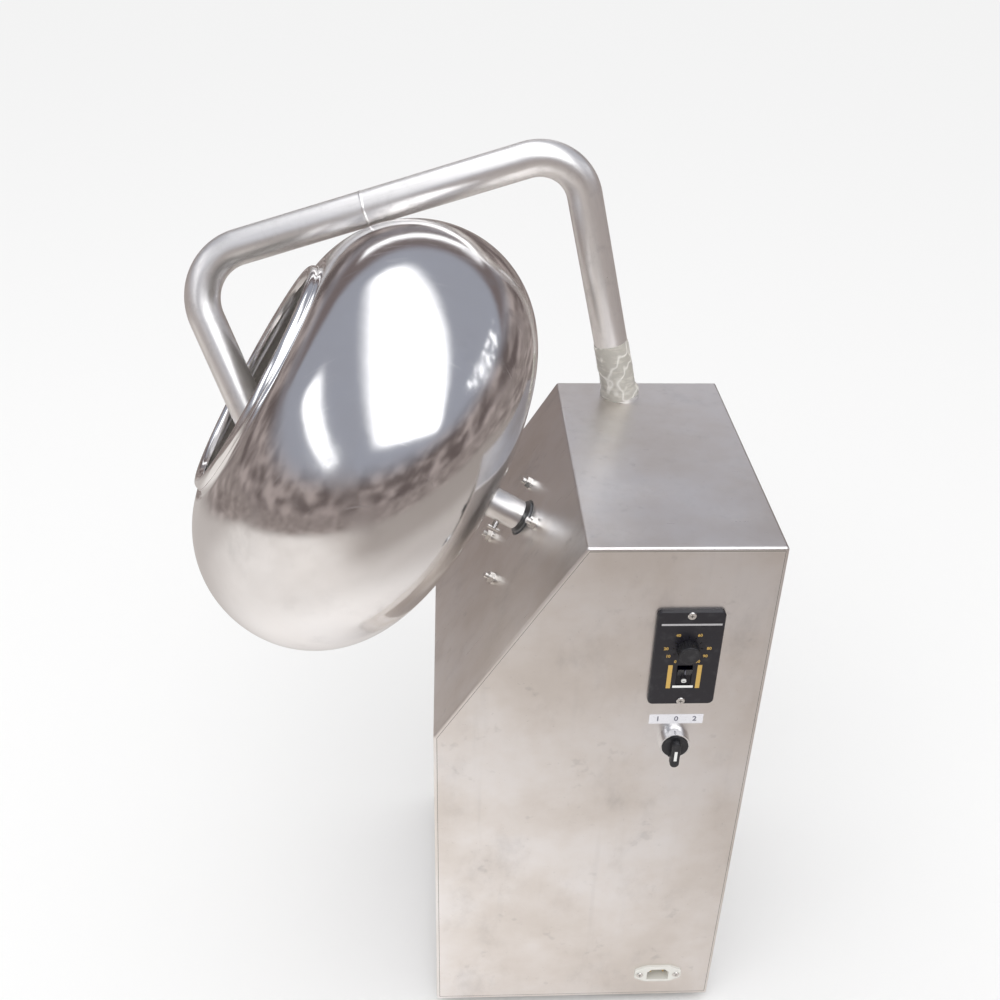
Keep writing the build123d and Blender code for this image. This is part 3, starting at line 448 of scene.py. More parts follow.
@dataclass(frozen=True)
class WrapFilm(Finish):
    """Clear wrapping film in crumpled layers."""

    def shade(self, recipe: Recipe) -> None:
        """Creases are whiter and less clear than the flat film."""
        place = recipe.coordinates()
        crease = recipe.noise(recipe.mapped(place, (38.0, 38.0, 30.0), (0.3, 0.5, 0.0)), 1.0, 2.0, 0.5)
        fold = recipe.noise(recipe.mapped(place, (60.0, 60.0, 240.0), (0.5, 0.4, 0.2)), 1.0, 3.0).step(0.5, 0.68)
        ridge = 1 - (crease - 0.5)._math("ABSOLUTE", crease - 0.5) * 26.0
        cover = ridge.clamped() * 0.3 + fold * 0.2 + 0.58
        base = recipe.mix(ridge.clamped(), self.tinted(0.92), (0.93, 0.91, 0.86))
        normal = recipe.bump(crease + fold * 0.4, 0.5, 0.0008)
        recipe.surface(base, crease * 0.2 + (self.rough - 0.1), 0.0, normal, alpha=cover.clamped(), coat_weight=0.6)


FINISHES: dict[str, Finish] = {
    "satin_steel": SatinSheet("satin_sheet", (0.90, 0.882, 0.872), 0.34, stain=1.35),
    "inner_steel": SatinSheet("plain_sheet", (0.62, 0.61, 0.60), 0.42, stain=0.8),
    "pan_mirror": MirrorSteel("spun_mirror", (0.90, 0.89, 0.885), 0.11),
    "hub_polish": MirrorSteel("turned_mirror", (0.92, 0.91, 0.90), 0.30, wave=0.3),
    "pipe_steel": TubeSteel("ground_tube", (0.95, 0.925, 0.90), 0.36),
    "screw_steel": Alloy("bright_fastener", (0.80, 0.78, 0.75), 0.24, pit=0.4),
    "shaft_steel": Alloy("ground_shaft", (0.66, 0.65, 0.64), 0.26, pit=0.3),
    "cast_case": Alloy("cast_alloy", (0.36, 0.37, 0.38), 0.48, pit=1.4),
    "heater_alloy": Alloy("heating_fins", (0.42, 0.39, 0.36), 0.45),
    "fan_alloy": Alloy("fan_alloy", (0.62, 0.63, 0.64), 0.34, pit=0.5),
    "pin_metal": Alloy("plated_pin", (0.62, 0.45, 0.22), 0.28, pit=0.3),
    "bezel_chrome": Alloy("plated_bezel", (0.86, 0.86, 0.86), 0.12, pit=0.2),
    "foot_rubber": Moulded("foot_rubber", (0.022, 0.022, 0.023), 0.78, dust=1.6),
    "black_plastic": Moulded("satin_black", (0.017, 0.017, 0.020), 0.42),
    "control_black": Moulded("face_black", (0.014, 0.013, 0.018), 0.36, dust=0.8),
    "control_body": Moulded("case_black", (0.020, 0.020, 0.022), 0.5),
    "rocker_black": Moulded("rocker_black", (0.010, 0.010, 0.012), 0.26, gloss=0.4),
    "contact_plastic": Moulded("contact_grey", (0.09, 0.095, 0.10), 0.5),
    "inlet_white": Moulded("inlet_white", (0.90, 0.895, 0.88), 0.28, dust=0.3, gloss=0.5),
    "capacitor_grey": Moulded("capacitor_grey", (0.47, 0.45, 0.41), 0.42),
}
GOLD_INK = Ink("gold_ink", (0.72, 0.47, 0.13), 0.35, metal=0.35)
WHITE_INK = Ink("white_ink", (0.82, 0.82, 0.80), 0.5)
SILVER_INK = Ink("silver_ink", (0.60, 0.60, 0.62), 0.35, metal=0.5)
GREY_INK = Ink("grey_ink", (0.16, 0.16, 0.20), 0.6)
LABEL_PAPER = Ink("label_paper", (0.78, 0.77, 0.80), 0.55)
SEAM_DARK = Ink("seam_shadow", (0.20, 0.18, 0.165), 0.6)
# Painted shade: dark ink for the shade inside the screws' cross recesses.
RECESS_SHADE = Ink("recess_painted_shade", (0.05, 0.045, 0.04), 0.5)
PAN_INSIDE = TubeSteel("pan_inside", (0.90, 0.87, 0.84), 0.34, metal=0.8)
FILM = WrapFilm("wrap_film", (0.78, 0.75, 0.68), 0.34)


# Meshes from arrays

def add_piece(name: str, mesh: bpy.types.Mesh, body: Body, finish: Finish) -> bpy.types.Object:
    """Put a finished mesh into the scene.

    Args:
        name: the piece's name.
        mesh: its mesh, already in place.
        body: the body it rides on.
        finish: its finish.

    Returns:
        The new object.
    """
    piece = bpy.data.objects.new(name, mesh)
    bpy.context.scene.collection.objects.link(piece)
    mesh.materials.append(finish.material())
    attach(piece, body.value)
    log.info("%s: %d faces on %s", name, len(mesh.polygons), body.value)
    return piece


def mesh_from(name: str, points: Array, faces: Array, uv: Array | None = None, smooth: bool = True) -> bpy.types.Mesh:
    """A mesh from arrays, with doubles merged and faces turned outwards.

    Args:
        name: the mesh's name.
        points: n by 3, in millimetres.
        faces: m by 3 or m by 4 vertex numbers.
        uv: m by corners by 2, or None.
        smooth: shade smoothly.

    Returns:
        The mesh in metres.
    """
    mesh = bpy.data.meshes.new(name)
    corners = faces.shape[1]
    mesh.vertices.add(len(points))
    mesh.vertices.foreach_set("co", (points * MM).astype(np.float32).ravel())
    mesh.loops.add(faces.size)
    mesh.loops.foreach_set("vertex_index", faces.astype(np.int32).ravel())
    mesh.polygons.add(len(faces))
    mesh.polygons.foreach_set("loop_start", np.arange(0, faces.size, corners, dtype=np.int32))
    mesh.update(calc_edges=True)
    if uv is not None:
        layer = mesh.uv_layers.new(name="UVMap")
        layer.data.foreach_set("uv", uv.astype(np.float32).ravel())
    work = bmesh.new()
    work.from_mesh(mesh)
    bmesh.ops.remove_doubles(work, verts=work.verts, dist=1e-7)
    bmesh.ops.recalc_face_normals(work, faces=work.faces)
    work.to_mesh(mesh)
    work.free()
    mesh.polygons.foreach_set("use_smooth", np.full(len(mesh.polygons), smooth))
    return mesh


def grid_faces(rows: int, columns: int, wrap_rows: bool, wrap_columns: bool, first: int = 0) -> Array:
    """Quads of a grid of points: corners (i, j), (i, j+1), (i+1, j+1), (i+1, j).

    Args:
        rows: number of rows.
        columns: number of columns.
        wrap_rows: join the last row to the first.
        wrap_columns: join the last column to the first.
        first: the first point's number.

    Returns:
        Faces as vertex numbers.
    """
    i = np.arange(rows if wrap_rows else rows - 1)[:, None]
    j = np.arange(columns if wrap_columns else columns - 1)[None, :]
    i2, j2 = (i + 1) % rows, (j + 1) % columns
    quad = np.stack([i * columns + j, i * columns + j2, i2 * columns + j2, i2 * columns + j], -1)
    return quad.reshape(-1, 4) + first


def grid_uv(rows: int, columns: int, wrap_rows: bool, wrap_columns: bool) -> Array:
    """UV of the same quads: across the columns is U, along the rows is V, both from 0 to 1."""
    high = rows if wrap_rows else rows - 1
    wide = columns if wrap_columns else columns - 1
    i, j = np.arange(high)[:, None] * np.ones(wide), np.arange(wide)[None, :] * np.ones((high, 1))
    u = np.stack([j, j + 1, j + 1, j], -1) / wide
    v = np.stack([i, i, i + 1, i + 1], -1) / high
    return np.stack([u, v], -1).reshape(-1, 4, 2)


def arc(middle: Sequence[float], radius: float, start: float, end: float, count: int) -> Array:
    """Points middle + radius (cos a, sin a) for a from start to end, in degrees."""
    angle = np.radians(np.linspace(start, end, count))
    return np.array(middle) + radius * np.stack([np.cos(angle), np.sin(angle)], -1)


def lathe(name: str, profile: Array, closed: bool, turns: int, origin: Array, axis: Array, side: Array) -> bpy.types.Mesh:
    """A profile turned about an axis: origin + t axis + r (cos a side + sin a (axis x side)).

    Args:
        name: the mesh's name.
        profile: n by 2, distance along the axis and radius.
        closed: join the profile's end to its start.
        turns: points round the axis.
        origin: a point on the axis.
        axis: the axis, of length 1.
        side: a direction square to it, of length 1.

    Returns:
        The mesh.
    """
    angle = np.linspace(0, 2 * np.pi, turns, endpoint=False)
    round_dir = np.cos(angle)[:, None] * side + np.sin(angle)[:, None] * np.cross(axis, side)
    points = origin + profile[:, None, :1] * axis + profile[:, None, 1:] * round_dir[None]
    faces = grid_faces(len(profile), turns, closed, True)
    return mesh_from(name, points.reshape(-1, 3), faces, grid_uv(len(profile), turns, closed, True))


def path_frames(path: Array, reference: Array) -> tuple[Array, Array]:
    """Two directions square to a path: N = reference x T and B = T x N, scaled to length 1.

    Args:
        path: n by 3 points.
        reference: a direction never along the path.

    Returns:
        N and B, each n by 3.
    """
    tangent = np.gradient(path, axis=0)
    tangent /= np.linalg.norm(tangent, axis=1, keepdims=True)
    first = np.cross(reference, tangent)
    first /= np.linalg.norm(first, axis=1, keepdims=True)
    return first, np.cross(tangent, first)


def tube(name: str, path: Array, reference: Array, outer: Array, inner: Array, sides: int) -> bpy.types.Mesh:
    """A hollow tube: path + radius (cos a N + sin a B), out along the outer wall and back along the inner one.

    Args:
        name: the mesh's name.
        path: n by 3 points.
        reference: a direction never along the path.
        outer: n radii, or n by sides.
        inner: the same for the bore.
        sides: points round the tube.

    Returns:
        The mesh.
    """
    first, second = path_frames(path, reference)
    angle = np.linspace(0, 2 * np.pi, sides, endpoint=False)
    spoke = np.cos(angle)[None, :, None] * first[:, None] + np.sin(angle)[None, :, None] * second[:, None]
    walls = [path[:, None] + radius.reshape(len(path), -1, 1) * spoke for radius in (outer, inner)]
    points = np.concatenate([walls[0], walls[1][::-1]])
    faces = grid_faces(len(points), sides, True, True)
    return mesh_from(name, points.reshape(-1, 3), faces, grid_uv(len(points), sides, True, True))


def slabs(name: str, middles: Array, halves: Array, along: Array, up: Array, thickness: float) -> bpy.types.Mesh:
    """Thin rectangular plates: middle +- half width along +- half height up, from 0 to thickness outwards.

    Args:
        name: the mesh's name.
        middles: n by 3, on the surface they lie on.
        halves: n by 2 half sizes.
        along: the width direction, one or n of them.
        up: the height direction, one or n of them.
        thickness: how far they stand out.

    Returns:
        The mesh.
    """
    count = len(middles)
    along, up = np.broadcast_to(along, (count, 3)), np.broadcast_to(up, (count, 3))
    out = np.cross(along, up)
    signs = np.array([[-1, -1], [1, -1], [1, 1], [-1, 1]], float)
    flat = middles[:, None] + signs[None, :, :1] * halves[:, None, :1] * along[:, None]
    flat = flat + signs[None, :, 1:] * halves[:, None, 1:] * up[:, None]
    points = np.concatenate([flat, flat + thickness * out[:, None]], 1)
    box = np.array([[0, 3, 2, 1], [4, 5, 6, 7], [0, 1, 5, 4], [1, 2, 6, 5], [2, 3, 7, 6], [3, 0, 4, 7]])
    faces = (box[None] + 8 * np.arange(count)[:, None, None]).reshape(-1, 4)
    return mesh_from(name, points.reshape(-1, 3), faces, smooth=False)


def lettering(name: str, marks: Sequence[tuple[str, float, float]], height: float, origin: Array, right: Array, up: Array, depth: float, weight: float = 0.035) -> bpy.types.Mesh:
    """Raised figures on a plane, made from text turned into a mesh.

    Args:
        name: the mesh's name.
        marks: text and its place along right and up.
        height: height of a figure.
        origin: the plane's origin.
        right: reading direction.
        up: upward direction of the figures.
        depth: thickness of the figures.
        weight: how far the strokes are fattened, as a share of the height.

    Returns:
        One mesh with all the figures.
    """
    joined = bmesh.new()
    out = np.cross(right, up)
    for text, x, y in marks:
        curve = bpy.data.curves.new(name + "_text", "FONT")
        curve.body, curve.size = text, height * MM * 1.4
        curve.align_x, curve.align_y = "CENTER", "CENTER"
        curve.extrude = depth * MM
        curve.offset = height * MM * weight
        curve.resolution_u = 4
        holder = bpy.data.objects.new(name + "_text", curve)
        mesh = bpy.data.meshes.new_from_object(holder)
        place = Matrix([[*row] for row in np.stack([right, up, out], 1)]).to_4x4()
        place.translation = Vector((origin + x * right + y * up) * MM)
        mesh.transform(place)
        joined.from_mesh(mesh)
        bpy.data.objects.remove(holder)
        bpy.data.curves.remove(curve)
        bpy.data.meshes.remove(mesh)
    made = bpy.data.meshes.new(name)
    bmesh.ops.remove_doubles(joined, verts=joined.verts, dist=1e-7)
    joined.to_mesh(made)
    joined.free()
    return made


# The pan

@dataclass
class SweetPan:
    """The spun pan, its rolled rim and its hub, in millimetres from the slanted face."""

    radius: float = 208.0
    wall: float = 1.5
    middle: float = 175.5
    back: float = 54.5
    seat_radius: float = 48.0
    back_arc: float = 99.0
    front_arc: float = 111.0
    front_slope: float = 14.0
    fold_radius: float = 5.0
    fold_turn: float = 50.0
    groove_radius: float = 4.0
    rim_middle: float = 286.0
    rim_radius: float = 106.5
    bead_radius: float = 6.0
    hub_start: float = 5.5
    hub_radius: float = 15.0
    hub_groove: float = 1.0
    hub_flange_radius: float = 42.0
    hub_flange_thickness: float = 6.0
    shaft_radius: float = 7.5
    shaft_reach: float = 40.0
    turns: int = 288

    def skin(self, depth: float) -> Array:
        """Half section from back to groove: dome arc, back arc, front arc, fold and groove in turn.

        Args:
            depth: distance inside the outer skin.

        Returns:
            Points as distance along the axis and radius.
        """
        height = self.radius - self.back_arc
        run = self.middle - self.back
        dome = (run**2 + height**2 - self.back_arc**2) / (2 * (run - self.back_arc))
        dome_middle = self.back + dome
        meet = math.degrees(math.atan2(height, dome_middle - self.middle))
        seat = dome_middle - math.sqrt(dome**2 - self.seat_radius**2) + depth
        seat_turn = math.degrees(math.acos((dome_middle - seat) / (dome - depth)))
        front_height = self.radius - self.front_arc
        parts = [
            np.array([[seat, 0.0]]),
            arc((dome_middle, 0), dome - depth, 180 - seat_turn, 180 - meet, 40)[:-1],
            arc((self.middle, height), self.back_arc - depth, 180 - meet, 90, 60)[:-1],
            arc((self.middle, front_height), self.front_arc - depth, 90, self.front_slope, 70),
        ]
        slope = math.radians(self.front_slope)
        normal = np.array([math.cos(slope), math.sin(slope)])
        fold_middle = parts[-1][-1] - (self.fold_radius - depth) * normal
        parts.append(arc(fold_middle, self.fold_radius - depth, self.front_slope, self.front_slope - self.fold_turn, 12)[1:])
        turn = math.radians(self.front_slope - self.fold_turn)
        groove = self.groove_radius + depth
        groove_middle = parts[-1][-1] + groove * np.array([math.cos(turn), math.sin(turn)])
        start = self.front_slope - self.fold_turn + 180
        parts.append(arc(groove_middle, groove, start, 270, 20)[1:])
        return np.concatenate(parts)

    def is_inside(self, along: Array, around: Array) -> Array:
        """Whether points lie nearer the inner skin than the outer one.

        Args:
            along: distances along the axis.
            around: distances from the axis.

        Returns:
            True for points of the inner skin.
        """
        gaps = []
        for depth in (0.0, self.wall):
            skin = self.skin(depth)
            away = np.hypot(along[:, None] - skin[None, :, 0], around[:, None] - skin[None, :, 1])
            gaps.append(away.min(1))
        return gaps[1] < gaps[0]

    def build(self) -> None:
        """Turn shell, rim bead, hub and weld bead, which ride on the pan's body."""
        outer, inner = self.skin(0.0), self.skin(self.wall)
        shell = np.concatenate([outer, inner[::-1]])
        mesh = lathe("pan_shell_spun", shell, False, self.turns, SHAFT_POINT, SLANT_NORMAL, SLOPE_DIR)
        piece = add_piece("pan_shell_spun", mesh, Body.PAN, FINISHES["pan_mirror"])
        mesh.materials.append(PAN_INSIDE.material())
        centres = np.empty(len(mesh.polygons) * 3)
        mesh.polygons.foreach_get("center", centres)
        offset = centres.reshape(-1, 3) / MM - SHAFT_POINT
        along = offset @ SLANT_NORMAL
        around = np.linalg.norm(offset - along[:, None] * SLANT_NORMAL, axis=1)
        mesh.polygons.foreach_set("material_index", self.is_inside(along, around).astype(np.int32))
        bead = arc((self.rim_middle, self.rim_radius), self.bead_radius, 0, 360, 33)[:-1]
        mesh = lathe("pan_rim_bead", bead, True, self.turns, SHAFT_POINT, SLANT_NORMAL, SLOPE_DIR)
        add_piece("pan_rim_bead", mesh, Body.PAN, FINISHES["pan_mirror"])
        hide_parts("pan_shell")
        self.build_hub(float(outer[0, 0]))

    def build_hub(self, seat: float) -> None:
        """Turn the hub with its chamfered ends and flange, and the weld round the flange.

        Args:
            seat: where the pan's flat back lies.
        """
        face = seat - self.hub_flange_thickness
        end = self.shaft_reach
        profile = np.array([
            (self.hub_start, self.shaft_radius),
            (self.hub_start, self.hub_radius - self.hub_groove),
            (self.hub_start + self.hub_groove, self.hub_radius),
            (face - 2.0, self.hub_radius),
            (face - 0.6, self.hub_radius + 0.6),
            (face, self.hub_radius + 2.0),
            (face, self.hub_flange_radius - 0.5),
            (face + 0.5, self.hub_flange_radius),
            (seat - 0.05, self.hub_flange_radius),
            (seat - 0.05, 0.01),
            (end, 0.01),
            (end, self.shaft_radius),
        ])
        finer = densify(profile, 0.25)
        mesh = lathe("pan_hub_turned", finer, True, 128, SHAFT_POINT, SLANT_NORMAL, SLOPE_DIR)
        piece = add_piece("pan_hub_turned", mesh, Body.PAN, FINISHES["hub_polish"])
        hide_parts("pan_hub")
        angle = np.linspace(0, 2 * np.pi, 360, endpoint=False)
        size = 1.3 + 0.35 * np.sin(45 * angle) + 0.2 * np.sin(17 * angle + 1.0)
        spoke = np.cos(angle)[:, None] * SLOPE_DIR + np.sin(angle)[:, None] * ACROSS
        ring = SHAFT_POINT + (seat - 1.2) * SLANT_NORMAL + (self.hub_flange_radius + 0.2) * spoke
        turn = np.linspace(0, 2 * np.pi, 10, endpoint=False)
        offset = np.cos(turn)[None, :, None] * spoke[:, None] + np.sin(turn)[None, :, None] * SLANT_NORMAL * 0.8
        points = (ring[:, None] + size[:, None, None] * offset).reshape(-1, 3)
        mesh = mesh_from("hub_weld", points, grid_faces(360, 10, True, True), grid_uv(360, 10, True, True))
        add_piece("hub_weld", mesh, Body.PAN, FINISHES["pipe_steel"])


def densify(profile: Array, inset: float) -> Array:
    """Each corner of a closed profile doubled: corner +- inset along its two runs, so edges stay crisp.

    Args:
        profile: n by 2 corners.
        inset: distance of the new points from the corner, cut to a third of the run.

    Returns:
        3n by 2 points.
    """
    before, after = np.roll(profile, 1, 0) - profile, np.roll(profile, -1, 0) - profile
    lengths = [np.linalg.norm(run, axis=1, keepdims=True) for run in (before, after)]
    shifts = [run / size * np.minimum(inset, size / 3) for run, size in zip((before, after), lengths)]
    return np.stack([profile + shifts[0], profile, profile + shifts[1]], 1).reshape(-1, 2)


# The hot air pipe

@dataclass
class HotAirPipe:
    """The bent tube from the top of the cabinet into the pan's mouth."""

    radius: float = 16.85
    wall: float = 1.5
    foot: Array = field(default_factory=lambda: np.array([161.0, 127.6, 612.0]))
    corners: tuple = ((-60.3, 2.1, 255.5), (-429.6, -15.9, 145.2), (-366.5, -80.4, 10.3))
    bends: tuple[float, float] = (45.0, 50.0)
    sink: float = 10.0
    sides: int = 72
    weld_share: float = 0.53
    wrap_length: float = 62.0
    socket_radius: float = 18.85
    socket_height: float = 8.0

    def centreline(self) -> Array:
        """Runs joined by arcs: each arc's middle lies R / sin(half angle) from its corner on the bisector.

        Returns:
            Points about 2 mm apart.
        """
        corners = [self.foot + np.array(c) for c in self.corners]
        rise = (corners[0] - self.foot) / np.linalg.norm(corners[0] - self.foot)
        start = self.foot - rise * self.sink
        parts, here = [], start
        for before, corner, after, radius in zip([start, corners[0]], corners[:2], corners[1:], self.bends):
            back = (before - corner) / np.linalg.norm(before - corner)
            onward = (after - corner) / np.linalg.norm(after - corner)
            half = math.acos(float(back @ onward)) / 2
            middle = corner + (back + onward) / np.linalg.norm(back + onward) * radius / math.sin(half)
            first, last = corner + back * radius / math.tan(half), corner + onward * radius / math.tan(half)
            sweep = math.pi - 2 * half
            share = np.linspace(0, 1, 40)[:, None]
            curve = (np.sin((1 - share) * sweep) * (first - middle) + np.sin(share * sweep) * (last - middle)) / math.sin(sweep)
            parts += [self.run(here, first), middle + curve[:-1]]
            here = last
        parts += [self.run(here, corners[2]), corners[2][None]]
        return np.concatenate(parts)

    @staticmethod
    def run(start: Array, end: Array) -> Array:
        """Points about 2.5 mm apart from start up to, and without, end."""
        count = max(2, int(np.linalg.norm(end - start) / 2.5))
        return start + np.linspace(0, 1, count, endpoint=False)[:, None] * (end - start)

    def reference(self) -> Array:
        """The direction square to the plane of the first two runs."""
        normal = np.cross(np.array(self.corners[0]), np.array(self.corners[1]) - np.array(self.corners[0]))
        return normal / np.linalg.norm(normal)

    def build(self) -> None:
        """Make the tube, the weld across its long run and the film round its foot."""
        path = self.centreline()
        lip = np.minimum(1.0, np.arange(len(path))[::-1] / 2.0)
        outer = self.radius - 0.4 * (1 - lip)
        inner = np.full(len(path), self.radius - self.wall)
        mesh = tube("hot_air_pipe_bent", path, self.reference(), outer, inner, self.sides)
        piece = add_piece("hot_air_pipe_bent", mesh, Body.CABINET, FINISHES["pipe_steel"])
        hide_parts("hot_air_pipe")
        self.build_weld()
        self.build_wrap()

    def build_weld(self) -> None:
        """A low ground-down weld: radius swells by a bell curve with ripples round the tube."""
        first, last = (self.foot + np.array(c) for c in self.corners[:2])
        middle = first + (last - first) * self.weld_share
        along = (last - first) / np.linalg.norm(last - first)
        place = np.linspace(-2.4, 2.4, 17)
        path = middle + place[:, None] * along
        angle = np.linspace(0, 2 * np.pi, self.sides, endpoint=False)[None]
        swell = 0.42 * np.exp(-((place[:, None] + 0.3 * np.sin(3 * angle)) / 1.1) ** 2)
        outer = self.radius - 0.04 + swell * (1 + 0.3 * np.sin(23 * angle))
        inner = np.full_like(outer, self.radius - 0.6)
        mesh = tube("pipe_weld", path, self.reference(), outer, inner, self.sides)
        add_piece("pipe_weld", mesh, Body.CABINET, FINISHES["pipe_steel"])

    def build_wrap(self) -> None:
        """Crumpled film: radius of what it covers plus folds, a sum of sines in angle and height."""
        rise = np.array(self.corners[0]) / np.linalg.norm(self.corners[0])
        height = np.linspace(1.2, self.wrap_length, 110)[:, None]
        path = self.foot + height * rise
        angle = np.linspace(0, 2 * np.pi, 120, endpoint=False)[None]
        step = 1 / (1 + np.exp(-(height - self.socket_height - 1.0) / 0.9))
        cover = self.socket_radius * (1 - step) + self.radius * step + 0.2
        folds = 0.35 * np.sin(4 * angle + height * 0.22) + 0.25 * np.sin(7 * angle - height * 0.31 + 1.0)
        folds = folds + 0.12 * np.sin(12 * angle + 0.5 * height) + 0.25 * np.sin(height * 0.4 + 2 * angle)
        edge = np.clip((self.wrap_length - 1.5 * np.sin(3 * angle) - height) / 4.0, 0, 1)
        outer = cover + (0.5 + folds * 0.4 + 0.35 * np.abs(np.sin(3.5 * angle + height * 0.12))) * edge
        inner = np.broadcast_to(cover - 0.12, outer.shape)
        mesh = tube("pipe_film_wrap", path, self.reference(), outer, inner, angle.size)
        add_piece("pipe_film_wrap", mesh, Body.CABINET, FILM)


# The front of the cabinet

@dataclass
class FrontPanel:
    """The thin joint lines round the welded front panel."""

    lip: float = 3.2
    line: float = 0.45
    bottom: float = 3.0

    def build(self) -> None:
        """Lay narrow strips along the panel's outline: left, slant, top, right and bottom."""
        drop = self.lip / math.cos(SLOPE)
        steep = math.tan(SLOPE)
        left, right = CABINET_X - HALF_WIDTH + self.lip, CABINET_X + HALF_WIDTH - self.lip
        top, low = CABINET_TOP - self.lip, FOOT_HEIGHT + self.bottom
        left_top = CABINET_TOP - SLANT_RISE + self.lip * steep - drop
        top_left = left - self.lip + (SLANT_RISE - self.lip + drop) / steep
        corners = np.array([(left, low), (left, left_top), (top_left, top), (right, top), (right, low)])
        ahead = np.roll(corners, -1, 0)
        middle, run = (corners + ahead) / 2, ahead - corners
        size = np.linalg.norm(run, axis=1)
        place = np.stack([middle[:, 0], np.full(5, -HALF_DEPTH), middle[:, 1]], -1)
        along = np.stack([run[:, 0] / size, np.zeros(5), run[:, 1] / size], -1)
        up = np.cross(np.array([0.0, -1.0, 0.0]), along)
        halves = np.stack([size / 2, np.array([self.line, self.line, self.line * 1.6, self.line, self.line]) / 2], -1)
        mesh = slabs("front_joint_lines", place, halves, along, up, 0.03)
        add_piece("front_joint_lines", mesh, Body.CABINET, SEAM_DARK)


@dataclass
class SpeedControl:
    """Print on the speed control's face, knob cap and rocker marks."""

    x: float = CABINET_X + 74.0
    z: float = FOOT_HEIGHT + 484.0
    face: float = HALF_DEPTH + 4.0
    knob_rise: float = 12.0
    knob_radius: float = 10.0
    knob_front: float = 10.9
    tick_radius: float = 12.6
    number_radius: float = 17.0
    print_depth: float = 0.06
    right: Array = field(default_factory=lambda: np.array([1.0, 0.0, 0.0]))
    up: Array = field(default_factory=lambda: np.array([0.0, 0.0, 1.0]))

    def on_face(self, x: float, z: float, out: float = 0.0) -> Array:
        """The point of the face x right of and z above its middle, out in front of it."""
        return np.array([self.x + x, -self.face - out, self.z + z])

    def bars(self, name: str, marks: Sequence[tuple[float, float, float, float]], finish: Finish) -> None:
        """Printed bars given by middle and half sizes on the face.

        Args:
            name: the piece's name.
            marks: x, z, half width and half height of each.
            finish: the ink.
        """
        middles = np.array([self.on_face(x, z) for x, z, _, _ in marks])
        halves = np.array([(w, h) for _, _, w, h in marks])
        mesh = slabs(name, middles, halves, self.right, self.up, self.print_depth)
        add_piece(name, mesh, Body.CABINET, finish)

    def build(self) -> None:
        """Lay the print and dress the knob and the rocker."""
        self.bars("control_silver_line", [(1.0, 38.6, 26.5, 1.0)], SILVER_INK)
        self.bars("control_gold_bars", [(-13.2, -20.0, 2.0, 13.4), (13.2, -20.0, 2.0, 13.4)], GOLD_INK)
        self.bars("control_white_bar", [(0.0, -31.6, 9.3, 1.3)], WHITE_INK)
        self.build_dial()
        self.build_knob()
        self.build_rocker()

    def build_dial(self) -> None:
        """Ticks and plain numbers on an arc: angle from 240 degrees down to -60."""
        steps = np.arange(11)
        angle = np.radians(240 - 30 * steps)
        outward = np.cos(angle)[:, None] * self.right + np.sin(angle)[:, None] * self.up
        middle = self.on_face(0, self.knob_rise) + self.tick_radius * outward
        across = np.cross(outward, np.array([0.0, -1.0, 0.0]))
        halves = np.tile([0.35, 1.1], (11, 1))
        mesh = slabs("dial_ticks", middle, halves, -across, outward, self.print_depth)
        add_piece("dial_ticks", mesh, Body.CABINET, GOLD_INK)
        marks = [
            (str(10 * step), self.number_radius * math.cos(a) * 1.12, self.number_radius * math.sin(a))
            for step, a in zip(steps, angle) if 0 <= step <= 10 and step % 2 == 0 or step in (1, 9)
        ]
        origin = self.on_face(0, self.knob_rise)
        mesh = lettering("dial_numbers", marks, 3.0, origin, self.right, self.up, self.print_depth)
        add_piece("dial_numbers", mesh, Body.CABINET, GOLD_INK)

    def build_knob(self) -> None:
        """A shallow dished cap and a pointer line on the knob's front."""
        front = self.on_face(0, self.knob_rise, self.knob_front)
        profile = np.array([(-0.3, 0.0), (-0.3, 6.6), (-0.05, 7.0), (0.12, 7.3), (0.12, 7.9), (-0.6, 8.2), (-0.9, 8.0), (-0.9, 0.0)])
        mesh = lathe("knob_cap", profile, False, 72, front, np.array([0.0, -1.0, 0.0]), self.right)
        add_piece("knob_cap", mesh, Body.KNOB, FINISHES["black_plastic"])
        turn = math.radians(240)
        outward = math.cos(turn) * self.right + math.sin(turn) * self.up
        across = np.cross(outward, np.array([0.0, -1.0, 0.0]))
        middle = (front + 5.0 * outward + np.array([0.0, 0.25, 0.0]))[None]
        mesh = slabs("knob_pointer", middle, np.array([[0.4, 1.7]]), -across, outward, 0.1)
        add_piece("knob_pointer", mesh, Body.KNOB, GREY_INK)

    def build_rocker(self) -> None:
        """Plain O and I on the two halves of the rocker, which is tipped with its lower half in."""
        tilt = math.radians(10)
        up = np.array([0.0, math.sin(-tilt), math.cos(tilt)])
        lower_up = np.array([0.0, -math.sin(tilt - 0.2), math.cos(tilt - 0.2)])
        low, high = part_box("power_rocker")
        front = -float(low.y) / MM
        middle = np.array([self.x, 0.0, self.z - 18.5])
        for name, text, shift, lean, depth in (("rocker_off", "O", -5.2, 0.2, 1.4), ("rocker_on", "I", 5.2, -0.2, 0.6)):
            slope = tilt + lean
            rise = np.array([0.0, -math.sin(slope), math.cos(slope)])
            origin = middle + np.array([0.0, -front + depth, shift])
            mesh = lettering(name, [(text, 0.0, 0.0)], 4.4, origin, self.right, rise, 0.9, weight=0.0)
            add_piece(name, mesh, Body.ROCKER, WHITE_INK if text == "O" else GREY_INK)


